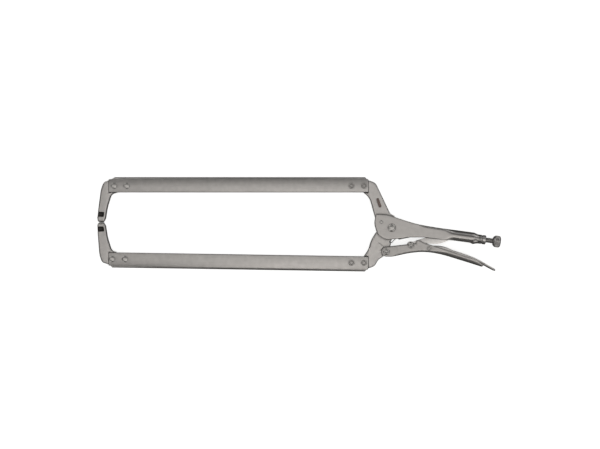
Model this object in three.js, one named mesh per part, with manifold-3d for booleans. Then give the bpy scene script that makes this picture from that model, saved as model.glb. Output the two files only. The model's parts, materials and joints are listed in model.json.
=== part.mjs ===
// Long-reach locking C clamp: two channel arms on forged jaws, worked by a toggle handle.
//
// The clamp is drawn in its own plane, in millimetres. The jaw pivot is at 0, 0. X runs from the
// pads (minus) to the adjusting knob (plus), Y runs across the opening, and Z is the thickness.
// At the end the whole group is moved so that the clamp lies on its side on Z = 0.

import * as THREE from "three";
import { mergeVertices } from "three/addons/utils/BufferGeometryUtils.js";
import Module from "manifold-3d";

const wasm = await Module();
wasm.setup();

// ---------- driving dimensions ----------

const GAP = 0.3; // clearance between pieces that touch
const THROUGH = 60; // length of a cut that goes right through
const PLAY = 0.3; // radial clearance of a rivet in its hole

const ARM_LENGTH = 389; // length of each channel arm
const ARM_DEPTH = 22.6; // from the legs' free edge to the back of the web
const ARM_SHEET = 2.5;
const UPPER_ARM_INNER = 53.1; // height of the upper arm's inner edge above the jaw pivot
const LOWER_ARM_INNER = -43.1; // the lower arm's inner edge at its rear end
const LOWER_ARM_TILT = 0.9; // degrees; the lower arm rises towards the pads
const ARM_REAR_X = -35; // where both arms end, ahead of the jaw pivot

const JAW = 12; // thickness of the forged jaws and tips
const TANG = 9.4; // thickness of the part of a forging that enters an arm
const TANG_LENGTH = 34;
const TIP_REACH = 16.2; // from the arm's end to the pad's far edge, along the clamp
const PAD_GAP = 2.3; // between the two pads at rest
const PAD_LEVEL = 8.2; // height of the middle of that gap
const PAD_LENGTH = 9; // flat length of a pad along X

const CHEEK_SHEET = 2.5; // upper handle
const HANDLE_SHEET = 2.2; // lower handle
const LEVER_SHEET = 1.6;
const LINK = 6.6; // thickness of the toggle link
const LINK_EYE = 5.8; // radius of the link round its rivet
const LINK_END = 4.5; // radius of its rear end, which bears on the screw

const HUB_RADIUS = 9.5; // moving jaw round its pivot
const EAR_RADIUS = 7.4; // lower handle round its front rivet
const JAW_EAR_RADIUS = 6.9; // moving jaw round the same rivet

const TUBE_BORE = 6.6; // radius inside the tubular end of the upper handle
const TUBE_LENGTH = 38; // straight part
const TAPER_LENGTH = 6.5;
const TUBE_TILT = -7.7; // degrees
const SLOT_LENGTH = 34; // slot under the tube that the link passes through
const SCREW_RADIUS = 3.97; // 5/16 inch thread
const SCREW_REST_GAP = 1.6; // between the toggle link and the screw at rest
const KNOB_RADIUS = 8.9;
const KNOB_LENGTH = 11.8;
const BUSH_RADIUS = 6.9;
const BUSH_LENGTH = 11;
const NECK = 10.8; // bare screw between the bush and the knob at rest

const ARM_RIVET = { shank: 3, head: 4.6, dome: 2.5 };
const JAW_PIVOT = { shank: 5, head: 6, dome: 1.2 };
const HANDLE_PIVOT = { shank: 3.5, head: 4.4, dome: 1.5 };
const LINK_PIVOT = { shank: 3, head: 4.3, dome: 1.5 };
const LEVER_PIN = { shank: 2.2, head: 3.6, dome: 1 };
const JAW_RIVET = { shank: 2, head: 2.6, dome: 0.8 };

const SPRING_RADIUS = 3.4;
const SPRING_BORE = 2.2;
const SPRING_PIN_RADIUS = 1.6;

// ---------- places that follow from them ----------

const UPPER_WIDTH = JAW + 2 * GAP + 2 * CHEEK_SHEET;
const LOWER_WIDTH = JAW + 2 * GAP + 2 * HANDLE_SHEET;
const ARM_WIDTH = TANG + 2 * GAP + 2 * ARM_SHEET;
const LEVER_WIDTH = LOWER_WIDTH - 2 * HANDLE_SHEET - 2 * GAP;
const TUBE_RADIUS = UPPER_WIDTH / 2;

const HANDLE_FRONT = [-7.9, -35.9]; // lower handle's rivet in the moving jaw
const LINK_FRONT = [28.8, -26.2]; // toggle link's rivet in the lower handle
const LINK_REAR = [90, -11.6]; // where the link bears on the screw
const LEVER_AXIS = [56.3, -31];
const SPRING_FRONT = [25, -13.6];
const SPRING_REAR = [50.5, -6.6];
const FIXED_RIVET = [-15.5, 8.6];
const TUBE_START = [86, -10.95]; // on the tube's axis

// ---------- solids ----------

// A closed three.js geometry as a solid that can be joined and cut.
function solid(geometry) {
  geometry.deleteAttribute("normal");
  geometry.deleteAttribute("uv");
  const merged = mergeVertices(geometry, 1e-4);
  return new wasm.Manifold(
    new wasm.Mesh({
      numProp: 3,
      vertProperties: merged.attributes.position.array,
      triVerts: new Uint32Array(merged.index.array),
    }),
  );
}

// A solid placed by a three.js matrix.
function placed(piece, matrix) {
  return piece.transform(matrix.elements);
}

// An outline of corners [x, y, radius]; a corner with a radius is rounded by an arc-like curve.
function outline(corners) {
  const shape = new THREE.Shape();
  corners.forEach(([x, y, radius = 0], i) => {
    const corner = new THREE.Vector2(x, y);
    const before = new THREE.Vector2(...corners.at(i - 1).slice(0, 2));
    const after = new THREE.Vector2(...corners[(i + 1) % corners.length].slice(0, 2));
    const from = corner.clone().add(before.sub(corner).setLength(radius));
    const to = corner.clone().add(after.sub(corner).setLength(radius));
    if (i === 0) shape.moveTo(from.x, from.y);
    else shape.lineTo(from.x, from.y);
    if (radius > 0) shape.quadraticCurveTo(x, y, to.x, to.y);
  });
  shape.closePath();
  return shape;
}

// A flat plate of an outline, lying about the middle plane.
function plate(corners, thickness) {
  const shape = Array.isArray(corners) ? outline(corners) : corners;
  const geometry = new THREE.ExtrudeGeometry(shape, {
    depth: thickness,
    bevelEnabled: false,
    curveSegments: 6,
  });
  geometry.translate(0, 0, -thickness / 2);
  return solid(geometry);
}

// A disc or pin across the thickness.
function disc([x, y], radius, thickness, sides = 32) {
  const geometry = new THREE.CylinderGeometry(radius, radius, thickness, sides);
  geometry.rotateX(Math.PI / 2);
  geometry.translate(x, y, 0);
  return solid(geometry);
}

// A turned piece about its own X axis, from a profile of [x, radius].
function turned(profile, sides = 32) {
  const points = profile.map(([x, radius]) => new THREE.Vector2(radius, x));
  const geometry = new THREE.LatheGeometry(points, sides);
  geometry.rotateZ(-Math.PI / 2);
  return solid(geometry);
}

// A two-headed rivet across the thickness, with domed heads.
function rivet(at, { shank, head, dome }, width) {
  const seat = width / 2 + 0.02;
  const half = [
    [seat + dome, 0],
    [seat + dome * 0.94, head * 0.42],
    [seat + dome * 0.7, head * 0.76],
    [seat + dome * 0.3, head],
    [seat, head],
    [seat, shank],
  ];
  const other = half.map(([z, radius]) => [-z, radius]);
  const points = [...other, ...half.reverse()].map(([z, radius]) => new THREE.Vector2(radius, z));
  const geometry = new THREE.LatheGeometry(points, 16);
  geometry.rotateX(Math.PI / 2);
  geometry.translate(at[0], at[1], 0);
  return solid(geometry);
}

function bored(piece, centres, radius) {
  return centres.reduce((rest, at) => rest.subtract(disc(at, radius, THROUGH, 20)), piece);
}

// ---------- arms: places along an arm ----------

// An arm's own directions: along runs towards the pads, out runs from the legs to the web.
function armFrame(inner, tiltDegrees, side) {
  const tilt = THREE.MathUtils.degToRad(tiltDegrees);
  const along = new THREE.Vector2(-Math.cos(tilt), Math.sin(tilt));
  const out = new THREE.Vector2(side * Math.sin(tilt), side * Math.cos(tilt));
  return { start: new THREE.Vector2(ARM_REAR_X, inner), along, out };
}

const UPPER_ARM = armFrame(UPPER_ARM_INNER, 0, 1);
const LOWER_ARM = armFrame(LOWER_ARM_INNER, LOWER_ARM_TILT, -1);

function onArm(arm, distance, depth) {
  const point = arm.start.clone();
  point.addScaledVector(arm.along, distance).addScaledVector(arm.out, depth);
  return [point.x, point.y];
}

const REAR_RIVETS = [6, 25];
const FRONT_RIVETS = [ARM_LENGTH - 27, ARM_LENGTH - 8];
const LOWER_FRONT_RIVETS = [ARM_LENGTH - 24.5, ARM_LENGTH - 5.2];
const RIVET_DEPTH = ARM_DEPTH * 0.43;

function frontRivets(arm) {
  return arm === LOWER_ARM ? LOWER_FRONT_RIVETS : FRONT_RIVETS;
}

// Corners given along an arm, as [distance, depth, radius].
function alongArm(arm, corners) {
  return corners.map(([distance, depth, radius]) => [...onArm(arm, distance, depth), radius]);
}

// The slanted cuts at an arm's ends: their height, and their lengths along the web.
const CUT_HEIGHT = 5.6;
const REAR_CUT = 4.6;
const FRONT_CUT = { upper: 9, lower: 5.5 };

function armChannel(arm, frontCut) {
  const body = plate(
    alongArm(arm, [
      [0, 0],
      [ARM_LENGTH, 0],
      [ARM_LENGTH, ARM_DEPTH - CUT_HEIGHT],
      [ARM_LENGTH - frontCut, ARM_DEPTH],
      [REAR_CUT, ARM_DEPTH],
      [0, ARM_DEPTH - CUT_HEIGHT],
    ]),
    ARM_WIDTH,
  );
  const inside = plate(
    alongArm(arm, [
      [-5, -5],
      [ARM_LENGTH + 5, -5],
      [ARM_LENGTH + 5, ARM_DEPTH - ARM_SHEET],
      [-5, ARM_DEPTH - ARM_SHEET],
    ]),
    ARM_WIDTH - 2 * ARM_SHEET,
  );
  const holes = [...REAR_RIVETS, ...frontRivets(arm)].map((s) => onArm(arm, s, RIVET_DEPTH));
  return bored(body.subtract(inside), holes, ARM_RIVET.shank + PLAY);
}

// The thinner end of a forging, inside an arm: from its tip to the arm's end, and on by a lower
// root that joins it to the forging.
function tang(arm, tipAt, armEnd, rootAt) {
  const low = GAP * 2;
  const high = ARM_DEPTH - ARM_SHEET - GAP;
  const rootHigh = ARM_DEPTH - 9;
  return plate(
    alongArm(arm, [
      [tipAt, low],
      [rootAt, low],
      [rootAt, rootHigh],
      [armEnd, rootHigh],
      [armEnd, high],
      [tipAt, high],
    ]),
    TANG,
  );
}

const REAR_TANG = [TANG_LENGTH, 0, -4];
const FRONT_TANG = [ARM_LENGTH - TANG_LENGTH, ARM_LENGTH, ARM_LENGTH + 4];

// ---------- jaws and tips ----------

function fixedJaw() {
  const top = UPPER_ARM_INNER;
  const shoulder = ARM_REAR_X + GAP * 2;
  const body = plate(
    [
      [shoulder, top + 18],
      [-24, top + 14.5, 5],
      [-1.5, 21.5, 3],
      [6, 12, 3],
      [0, 5],
      [-21, 2.5, 3],
      [-25, 16, 6],
      [-33, top - 8, 7],
      [-42, top - 0.4],
      [shoulder, top - 0.4],
    ],
    JAW,
  );
  const joined = body.add(tang(UPPER_ARM, ...REAR_TANG));
  const cleared = joined.subtract(disc([0, 0], HUB_RADIUS + 2 * GAP, THROUGH));
  const holes = REAR_RIVETS.map((s) => onArm(UPPER_ARM, s, RIVET_DEPTH));
  const riveted = bored(cleared, holes, ARM_RIVET.shank + PLAY);
  return bored(riveted, [FIXED_RIVET], JAW_RIVET.shank + PLAY);
}

function movingJaw() {
  const low = LOWER_ARM_INNER;
  const shoulder = ARM_REAR_X + GAP * 2;
  const body = plate(
    [
      [-9.2, 3, 3],
      [-23, -6, 5],
      [-31.5, -20, 9],
      [-34.3, low + 11, 6],
      [-41.5, low + 0.4],
      [shoulder, low + 0.2],
      [shoulder, low - ARM_DEPTH + 5],
      [-25.5, low - 15, 5],
      [-20, low - 5, 3],
      [HANDLE_FRONT[0] - 3, HANDLE_FRONT[1] - 6, 2],
      [HANDLE_FRONT[0] + 4, HANDLE_FRONT[1] + 4],
      [-1.4, -26, 2],
      [-0.6, -18.5, 2],
      [8, -6],
    ],
    JAW,
  );
  const hub = disc([0, 0], HUB_RADIUS, JAW);
  const ear = disc(HANDLE_FRONT, JAW_EAR_RADIUS, JAW);
  const joined = body.add(hub).add(ear).add(tang(LOWER_ARM, ...REAR_TANG));
  const holes = REAR_RIVETS.map((s) => onArm(LOWER_ARM, s, RIVET_DEPTH));
  const riveted = bored(joined, holes, ARM_RIVET.shank + PLAY);
  const pivoted = bored(riveted, [[0, 0]], JAW_PIVOT.shank + PLAY);
  return bored(pivoted, [HANDLE_FRONT], HANDLE_PIVOT.shank + PLAY);
}

// A front tip: from the shoulder at the arm's end, round the corner and along to its pad.
// side is 1 for the upper tip, whose pad faces down, and -1 for the lower one. heel is the corner
// furthest from the arm, as the distance past the arm's end and the depth. recessAt is how far the
// recess in the tip's sides starts from the pad.
const UPPER_TIP = { arm: UPPER_ARM, side: 1, heel: [11.9, 0], recessAt: 7 };
const LOWER_TIP = { arm: LOWER_ARM, side: -1, heel: [14.4, 5], recessAt: 5.2 };

function tip({ arm, side, heel, recessAt }) {
  const end = ARM_LENGTH + GAP * 2;
  const padY = PAD_LEVEL + (side * PAD_GAP) / 2;
  const rearX = onArm(arm, ARM_LENGTH, 0)[0];
  const padX = rearX - TIP_REACH;
  const body = plate(
    [
      onArm(arm, end, ARM_DEPTH - 4.8),
      [...onArm(arm, ARM_LENGTH + heel[0] - 3, ARM_DEPTH - 6.5), 4],
      [...onArm(arm, ARM_LENGTH + heel[0], heel[1]), 4],
      [padX - 1.3, padY + side * 5, 3],
      [padX, padY],
      [padX + PAD_LENGTH, padY],
      [padX + 11.4, padY + side * 4, 1.5],
      [padX + 14.2, padY + side * 22, 6],
      [...onArm(arm, ARM_LENGTH - 4, -2.6), 4.5],
      onArm(arm, ARM_LENGTH - 13, -0.35),
      onArm(arm, end, -0.35),
    ],
    JAW,
  );
  const recess = [
    [padX, padY + side * (recessAt + 0.5), 1.2],
    [padX + 8.2, padY + side * recessAt, 1.2],
    [padX + 9.2, padY + side * (recessAt + 7), 1.2],
    [padX + 1, padY + side * (recessAt + 7.5), 1.2],
  ];
  const joined = body.add(tang(arm, ...FRONT_TANG));
  const web = plate(recess, JAW + 2).subtract(plate(recess, JAW - 3));
  const holes = frontRivets(arm).map((s) => onArm(arm, s, RIVET_DEPTH));
  return bored(joined.subtract(web), holes, ARM_RIVET.shank + PLAY);
}

// ---------- upper handle ----------

const TUBE = new THREE.Matrix4()
  .makeTranslation(TUBE_START[0], TUBE_START[1], 0)
  .multiply(new THREE.Matrix4().makeRotationZ(THREE.MathUtils.degToRad(TUBE_TILT)));

const WEB_START = 36; // the cheeks are open at the top ahead of this

// The top edge of the cheeks, from front to rear.
const CHEEK_TOP = [
  [-4, 18.6],
  [18, 11.5],
  [36, 6.1],
  [54, 2.5],
  [72, -0.4],
];

function upperHandle() {
  const tubeTop = TUBE_START[1] + TUBE_RADIUS - 0.2;
  const side = plate(
    [
      [-23.6, 20.2, 2],
      ...CHEEK_TOP,
      [TUBE_START[0] + 2, tubeTop],
      [TUBE_START[0] + 2, TUBE_START[1] - 7.6],
      [72, -17.4],
      [48, -14.4, 4],
      [24, -14.4, 3],
      [14, -16.4, 2],
      [-9, -18, 4],
      [-21, -10.5, 5],
      [-26.3, 7, 6],
    ],
    UPPER_WIDTH,
  );
  const channel = plate(
    [
      [-40, 40],
      [WEB_START, 40],
      ...CHEEK_TOP.slice(2).map(([x, y]) => [x, y - CHEEK_SHEET]),
      [TUBE_START[0] + 3, tubeTop - CHEEK_SHEET - 0.2],
      [TUBE_START[0] + 3, -40],
      [-40, -40],
    ],
    UPPER_WIDTH - 2 * CHEEK_SHEET,
  );
  const tube = turned([
    [0, 0],
    [0, TUBE_RADIUS],
    [TUBE_LENGTH, TUBE_RADIUS],
    [TUBE_LENGTH + TAPER_LENGTH, BUSH_RADIUS],
    [TUBE_LENGTH + TAPER_LENGTH, 0],
  ]);
  const bore = turned([
    [-4, 0],
    [-4, TUBE_BORE],
    [TUBE_LENGTH + TAPER_LENGTH - 3, TUBE_BORE],
    [TUBE_LENGTH + TAPER_LENGTH - 3, SCREW_RADIUS + PLAY + 1],
    [TUBE_LENGTH + TAPER_LENGTH + 4, SCREW_RADIUS + PLAY + 1],
    [TUBE_LENGTH + TAPER_LENGTH + 4, 0],
  ]);
  const slotWidth = LINK + 1.4;
  const slot = plate(
    [
      [-6, 0],
      [SLOT_LENGTH, 0],
      [SLOT_LENGTH, -12],
      [-6, -12],
    ],
    slotWidth,
  );
  const whole = side.subtract(channel).add(placed(tube, TUBE));
  const hollow = whole.subtract(placed(bore, TUBE)).subtract(placed(slot, TUBE));
  const pivoted = bored(hollow, [[0, 0]], JAW_PIVOT.shank + PLAY);
  return bored(pivoted, [FIXED_RIVET], JAW_RIVET.shank + PLAY);
}

// ---------- adjusting screw ----------

const BUSH_START = TUBE_LENGTH + TAPER_LENGTH + GAP;
const KNOB_START = BUSH_START + BUSH_LENGTH + NECK;

function threadedBush() {
  const end = BUSH_START + BUSH_LENGTH;
  const hole = SCREW_RADIUS + PLAY;
  return placed(
    turned([
      [BUSH_START, hole],
      [BUSH_START, BUSH_RADIUS],
      [BUSH_START + 3.2, BUSH_RADIUS],
      [BUSH_START + 3.8, BUSH_RADIUS - 0.7],
      [BUSH_START + 4.6, BUSH_RADIUS - 0.7],
      [BUSH_START + 5.2, BUSH_RADIUS],
      [end - 1, BUSH_RADIUS],
      [end, BUSH_RADIUS - 1],
      [end, hole],
      [BUSH_START, hole],
    ]),
    TUBE,
  );
}

function adjustingScrew() {
  const start = LINK_REAR[0] - TUBE_START[0] + LINK_END + SCREW_REST_GAP;
  return placed(
    turned([
      [start, 0],
      [start, SCREW_RADIUS - 1],
      [start + 1, SCREW_RADIUS],
      [KNOB_START + 4, SCREW_RADIUS],
      [KNOB_START + 4, 0],
    ]),
    TUBE,
  );
}

function adjustingKnob() {
  const end = KNOB_START + KNOB_LENGTH;
  const socket = SCREW_RADIUS + PLAY;
  return placed(
    turned([
      [KNOB_START, socket],
      [KNOB_START, KNOB_RADIUS - 3],
      [KNOB_START + 3.2, KNOB_RADIUS],
      [end - 3, KNOB_RADIUS],
      [end - 0.8, KNOB_RADIUS - 0.9],
      [end, KNOB_RADIUS - 2.4],
      [end, 0],
      [KNOB_START + 4 + GAP, 0],
      [KNOB_START + 4 + GAP, socket],
      [KNOB_START, socket],
    ]),
    TUBE,
  );
}

// ---------- lower handle, link and lever ----------

// The web of the lower handle, from front to rear.
const HANDLE_BACK = [
  [26, -38.2],
  [49, -36.4],
  [73, -39.8],
  [104, -48.8],
  [136, -59],
];

function lowerHandle() {
  const side = plate(
    [
      [HANDLE_FRONT[0] + 1, HANDLE_FRONT[1] + EAR_RADIUS],
      [28, -20.6, 10],
      [41, -18.2, 2.5],
      [48.5, -23, 3],
      [58, -25.4],
      [70, -29.4],
      [90, -36],
      [122, -47.2],
      [137.5, -54.6],
      ...HANDLE_BACK.toReversed(),
      [1.5, -43.3],
      [HANDLE_FRONT[0], HANDLE_FRONT[1] - EAR_RADIUS],
    ],
    LOWER_WIDTH,
  ).add(disc(HANDLE_FRONT, EAR_RADIUS, LOWER_WIDTH));
  const webStart = 1.5;
  const channel = plate(
    [
      [webStart, -43.3 + HANDLE_SHEET],
      ...HANDLE_BACK.map(([x, y]) => [x, y + HANDLE_SHEET]),
      [145, -62 + HANDLE_SHEET],
      [145, 0],
      [-30, 0],
      [-30, -60],
      [webStart, -60],
    ],
    LOWER_WIDTH - 2 * HANDLE_SHEET,
  );
  const hollow = side.subtract(channel);
  const front = bored(hollow, [HANDLE_FRONT], HANDLE_PIVOT.shank + PLAY);
  const linked = bored(front, [LINK_FRONT], LINK_PIVOT.shank + PLAY);
  return bored(linked, [LEVER_AXIS], LEVER_PIN.shank + PLAY);
}

function toggleLink() {
  const bar = plate(
    [
      [LINK_FRONT[0] + 3, LINK_FRONT[1] + 5],
      [47, -15.9, 8],
      [70, -10.2, 10],
      [LINK_REAR[0] - 1, LINK_REAR[1] + 4.4],
      [LINK_REAR[0], LINK_REAR[1] - 4.4],
      [82, -21, 5],
      [69, -24.6, 6],
      [50, -23.4, 8],
      [LINK_FRONT[0] + 2, LINK_FRONT[1] - 5.4],
    ],
    LINK,
  );
  const eyes = disc(LINK_FRONT, LINK_EYE, LINK).add(disc(LINK_REAR, LINK_END, LINK));
  return bored(bar.add(eyes), [LINK_FRONT], LINK_PIVOT.shank + PLAY);
}

// The lever's top edge, from its nose to the tip of its tail.
const LEVER_TOP = [
  [50, -29, 1.5],
  [57, -27],
  [72, -27.2],
  [82, -29.4],
  [90.5, -33.1],
  [106.7, -38.4],
  [122.7, -44.4],
  [134, -49.8],
  [142, -54.4],
  [155.6, -62],
];

// The lever's lower edge, from the tail's end to the front.
const LEVER_BOTTOM = [
  [154.8, -64.9],
  [140, -57.2],
  [132, -52.6],
  [120, -47.4],
  [100, -42.6],
  [84, -38.8],
  [70, -36.3],
  [57, -34.8, 2],
  [50.5, -33.4, 1.5],
];
const TOP_STRIP = 2.3; // thickness of the lever's top

function releaseLever() {
  const top = LEVER_TOP.map(([x, y]) => [x, y]);
  const lowered = (drop) => top.map(([x, y]) => [x, y - drop]);
  const strip = plate([...top, ...lowered(TOP_STRIP).reverse()], LEVER_WIDTH);
  const sides = plate([...top, ...LEVER_BOTTOM], LEVER_WIDTH);
  const between = plate(
    [...lowered(LEVER_SHEET), [150, -80], [40, -80], [40, -29]],
    LEVER_WIDTH - 2 * LEVER_SHEET,
  );
  const whole = sides.subtract(between).add(strip);
  return bored(whole, [LEVER_AXIS], LEVER_PIN.shank + PLAY);
}

// ---------- spring ----------

function returnSpring() {
  const from = new THREE.Vector3(...SPRING_FRONT, 0);
  const to = new THREE.Vector3(...SPRING_REAR, 0);
  const length = from.distanceTo(to);
  const angle = Math.atan2(to.y - from.y, to.x - from.x);
  const coil = turned(
    [
      [0, SPRING_BORE],
      [0, SPRING_RADIUS],
      [length, SPRING_RADIUS],
      [length, SPRING_BORE],
      [0, SPRING_BORE],
    ],
    20,
  );
  const matrix = new THREE.Matrix4().makeTranslation(from.x, from.y, 0);
  return placed(coil, matrix.multiply(new THREE.Matrix4().makeRotationZ(angle)));
}

// The pin that the spring's rear hook hangs on, between the cheeks.
function springPin() {
  const at = [SPRING_REAR[0] + 4.2, SPRING_REAR[1] + 1];
  const width = UPPER_WIDTH - 2 * CHEEK_SHEET - 2 * GAP;
  return disc(at, SPRING_PIN_RADIUS, width, 16);
}

// ---------- materials and assembly ----------

const FINISH = {
  forged: { color: 0xa8a49c, roughness: 0.5, metalness: 0.9 },
  pressed: { color: 0xb5b1aa, roughness: 0.36, metalness: 0.95 },
  channel: { color: 0x98938c, roughness: 0.42, metalness: 0.9 },
  turned: { color: 0x8c8a86, roughness: 0.28, metalness: 1 },
  dark: { color: 0x6e6a64, roughness: 0.4, metalness: 0.9 },
};

const clamp = new THREE.Group();

function addPiece(name, piece, finish) {
  const { vertProperties, triVerts } = piece.getMesh();
  const geometry = new THREE.BufferGeometry();
  geometry.setAttribute("position", new THREE.BufferAttribute(vertProperties, 3));
  geometry.setIndex(new THREE.BufferAttribute(triVerts, 1));
  geometry.computeVertexNormals();
  const mesh = new THREE.Mesh(geometry, new THREE.MeshStandardMaterial(FINISH[finish]));
  mesh.name = name;
  clamp.add(mesh);
}

addPiece("upper_handle", upperHandle(), "pressed");
addPiece("threaded_bush", threadedBush(), "turned");
addPiece("adjusting_screw", adjustingScrew(), "turned");
addPiece("adjusting_knob", adjustingKnob(), "turned");
addPiece("fixed_jaw", fixedJaw(), "forged");
addPiece("moving_jaw", movingJaw(), "forged");
addPiece("upper_arm", armChannel(UPPER_ARM, FRONT_CUT.upper), "channel");
addPiece("lower_arm", armChannel(LOWER_ARM, FRONT_CUT.lower), "channel");
addPiece("upper_tip", tip(UPPER_TIP), "forged");
addPiece("lower_tip", tip(LOWER_TIP), "forged");
addPiece("lower_handle", lowerHandle(), "pressed");
addPiece("toggle_link", toggleLink(), "forged");
addPiece("release_lever", releaseLever(), "dark");
addPiece("return_spring", returnSpring(), "dark");
addPiece("spring_pin", springPin(), "dark");

addPiece("jaw_pivot_rivet", rivet([0, 0], JAW_PIVOT, UPPER_WIDTH), "turned");
addPiece("handle_pivot_rivet", rivet(HANDLE_FRONT, HANDLE_PIVOT, LOWER_WIDTH), "turned");
addPiece("link_pivot_rivet", rivet(LINK_FRONT, LINK_PIVOT, LOWER_WIDTH), "turned");
addPiece("lever_pin", rivet(LEVER_AXIS, LEVER_PIN, LOWER_WIDTH), "turned");
addPiece("fixed_jaw_rivet", rivet(FIXED_RIVET, JAW_RIVET, UPPER_WIDTH), "pressed");

const ARMS = { upper: UPPER_ARM, lower: LOWER_ARM };
for (const [armName, arm] of Object.entries(ARMS)) {
  const rows = { rear: REAR_RIVETS, front: frontRivets(arm) };
  for (const [end, distances] of Object.entries(rows)) {
    distances.forEach((distance, i) => {
      const at = onArm(arm, distance, RIVET_DEPTH);
      addPiece(`${armName}_${end}_rivet_${i + 1}`, rivet(at, ARM_RIVET, ARM_WIDTH), "turned");
    });
  }
}

// The origin goes to the middle of the footprint, on the surface that the clamp lies on.
const bounds = new THREE.Box3().setFromObject(clamp);
const centre = bounds.getCenter(new THREE.Vector3());
clamp.position.set(-centre.x, -centre.y, -bounds.min.z);

export default clamp;
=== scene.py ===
# %% [markdown]
# # A long-reach locking C clamp
#
# The clamp has two pressed channel arms on forged jaws, and a toggle handle that locks them. This
# lesson builds each piece as its maker does: the forgings are carved and rounded, the sheet pieces
# are pressed over a form, and the rivets, bush, screw and knob are turned.
#
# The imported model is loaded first. Its nodes fix every size and every joint, and the pieces made
# here stand for those nodes.

# %% Load the frame
import json
import math

import bmesh
import bpy
from mathutils import Matrix, Vector
from mathutils.kdtree import KDTree


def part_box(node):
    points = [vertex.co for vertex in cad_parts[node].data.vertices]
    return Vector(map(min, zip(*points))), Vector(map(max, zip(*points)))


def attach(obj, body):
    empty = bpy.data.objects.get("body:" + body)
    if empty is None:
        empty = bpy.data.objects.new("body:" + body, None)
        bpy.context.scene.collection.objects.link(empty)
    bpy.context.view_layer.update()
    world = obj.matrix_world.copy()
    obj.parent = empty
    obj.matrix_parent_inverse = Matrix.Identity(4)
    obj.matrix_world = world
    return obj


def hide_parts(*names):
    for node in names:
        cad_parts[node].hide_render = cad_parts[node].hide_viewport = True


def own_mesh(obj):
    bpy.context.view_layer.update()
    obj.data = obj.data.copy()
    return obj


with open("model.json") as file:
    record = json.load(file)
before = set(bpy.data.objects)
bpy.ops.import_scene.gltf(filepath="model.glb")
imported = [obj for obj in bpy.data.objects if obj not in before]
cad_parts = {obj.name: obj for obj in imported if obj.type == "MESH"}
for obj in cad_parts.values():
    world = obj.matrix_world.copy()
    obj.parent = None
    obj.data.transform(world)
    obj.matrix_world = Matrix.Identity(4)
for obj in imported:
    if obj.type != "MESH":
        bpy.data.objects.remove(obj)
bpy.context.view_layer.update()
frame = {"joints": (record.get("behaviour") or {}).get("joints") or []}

# %% [markdown]
# ## Places on the clamp
#
# A fitter measures a clamp like this from its jaw pivot, so the pieces are drawn in millimetres from
# that rivet, with X towards the knob, Y across the opening and Z through the thickness. Each finished
# mesh is then scaled to metres and moved to where the frame has the rivet. The other way would be to
# write every point in metres in the frame, which is harder to read and to check with a caliper.

# %% The jaw pivot and the other places measured from it
MM = 0.001


def middle(node):
    low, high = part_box(node)
    return (low + high) / 2


PIVOT = middle("jaw_pivot_rivet")


def place_of(node):
    """The middle of a node, in millimetres from the jaw pivot."""
    return (middle(node) - PIVOT) / MM


HANDLE_PIVOT = place_of("handle_pivot_rivet")
LINK_PIVOT = place_of("link_pivot_rivet")
SPRING_PIN = place_of("spring_pin")
print("lower handle's pivot:", [round(c, 1) for c in HANDLE_PIVOT])

# %% [markdown]
# ## Picking and selecting
#
# An operator acts on all that is selected, so each step first selects just what it works on. With a
# mouse that is a click or a box; here a small test on the place or the normal does it.

# %% Helpers that select
bpy.ops.object.select_all(action="DESELECT")


def only(piece):
    """Leave edit mode, and make one object the selected and active one."""
    if bpy.context.mode != "OBJECT":
        bpy.ops.object.mode_set(mode="OBJECT")
    bpy.ops.object.select_all(action="DESELECT")
    piece.select_set(True)
    bpy.context.view_layer.objects.active = piece


def edit(piece):
    only(piece)
    bpy.ops.object.mode_set(mode="EDIT")
    bpy.ops.mesh.select_all(action="SELECT")


def pick(kind, test):
    """In edit mode, select just the verts, edges or faces that pass a test, and count them."""
    bpy.ops.mesh.select_mode(type={"verts": "VERT", "edges": "EDGE", "faces": "FACE"}[kind])
    bpy.ops.mesh.select_all(action="DESELECT")
    mesh = bmesh.from_edit_mesh(bpy.context.object.data)
    chosen = [item for item in getattr(mesh, kind) if test(item)]
    for item in chosen:
        item.select_set(True)
    mesh.select_flush_mode()
    bmesh.update_edit_mesh(bpy.context.object.data)
    return len(chosen)


def named(name):
    piece = bpy.context.object
    piece.name = piece.data.name = name
    return piece


def face_outwards():
    """In edit mode, join vertices that coincide and turn every face outwards."""
    bpy.ops.mesh.select_all(action="SELECT")
    bpy.ops.mesh.remove_doubles(threshold=0.002)
    bpy.ops.mesh.normals_make_consistent(inside=False)


def modify(piece, kind, **settings):
    """Add a modifier with these settings, and apply it."""
    only(piece)
    modifier = piece.modifiers.new(kind.title(), kind)
    for setting, value in settings.items():
        setattr(modifier, setting, value)
    bpy.ops.object.modifier_apply(modifier=modifier.name)


def break_edges(piece, width, segments):
    """Bevel all the edges of a piece that turn by more than 50 degrees."""
    limit = math.radians(50)
    modify(piece, "BEVEL", width=width, segments=segments, limit_method="ANGLE", angle_limit=limit)


def smooth(piece, degrees=32):
    only(piece)
    bpy.ops.object.shade_smooth_by_angle(angle=math.radians(degrees))


# %% [markdown]
# ## Outlines and plates
#
# Jaws, tips, link and recesses are all flat outlines with some thickness. Such an outline could be
# drawn as a curve and filled, but a curve's mesh is hard to bevel. Here a filled circle is added with
# one vertex for each point, its vertices are pulled onto the outline, and the face is extruded.

# %% Outlines with rounded corners, and plates of them
CORNER_STEPS = 5


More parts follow.
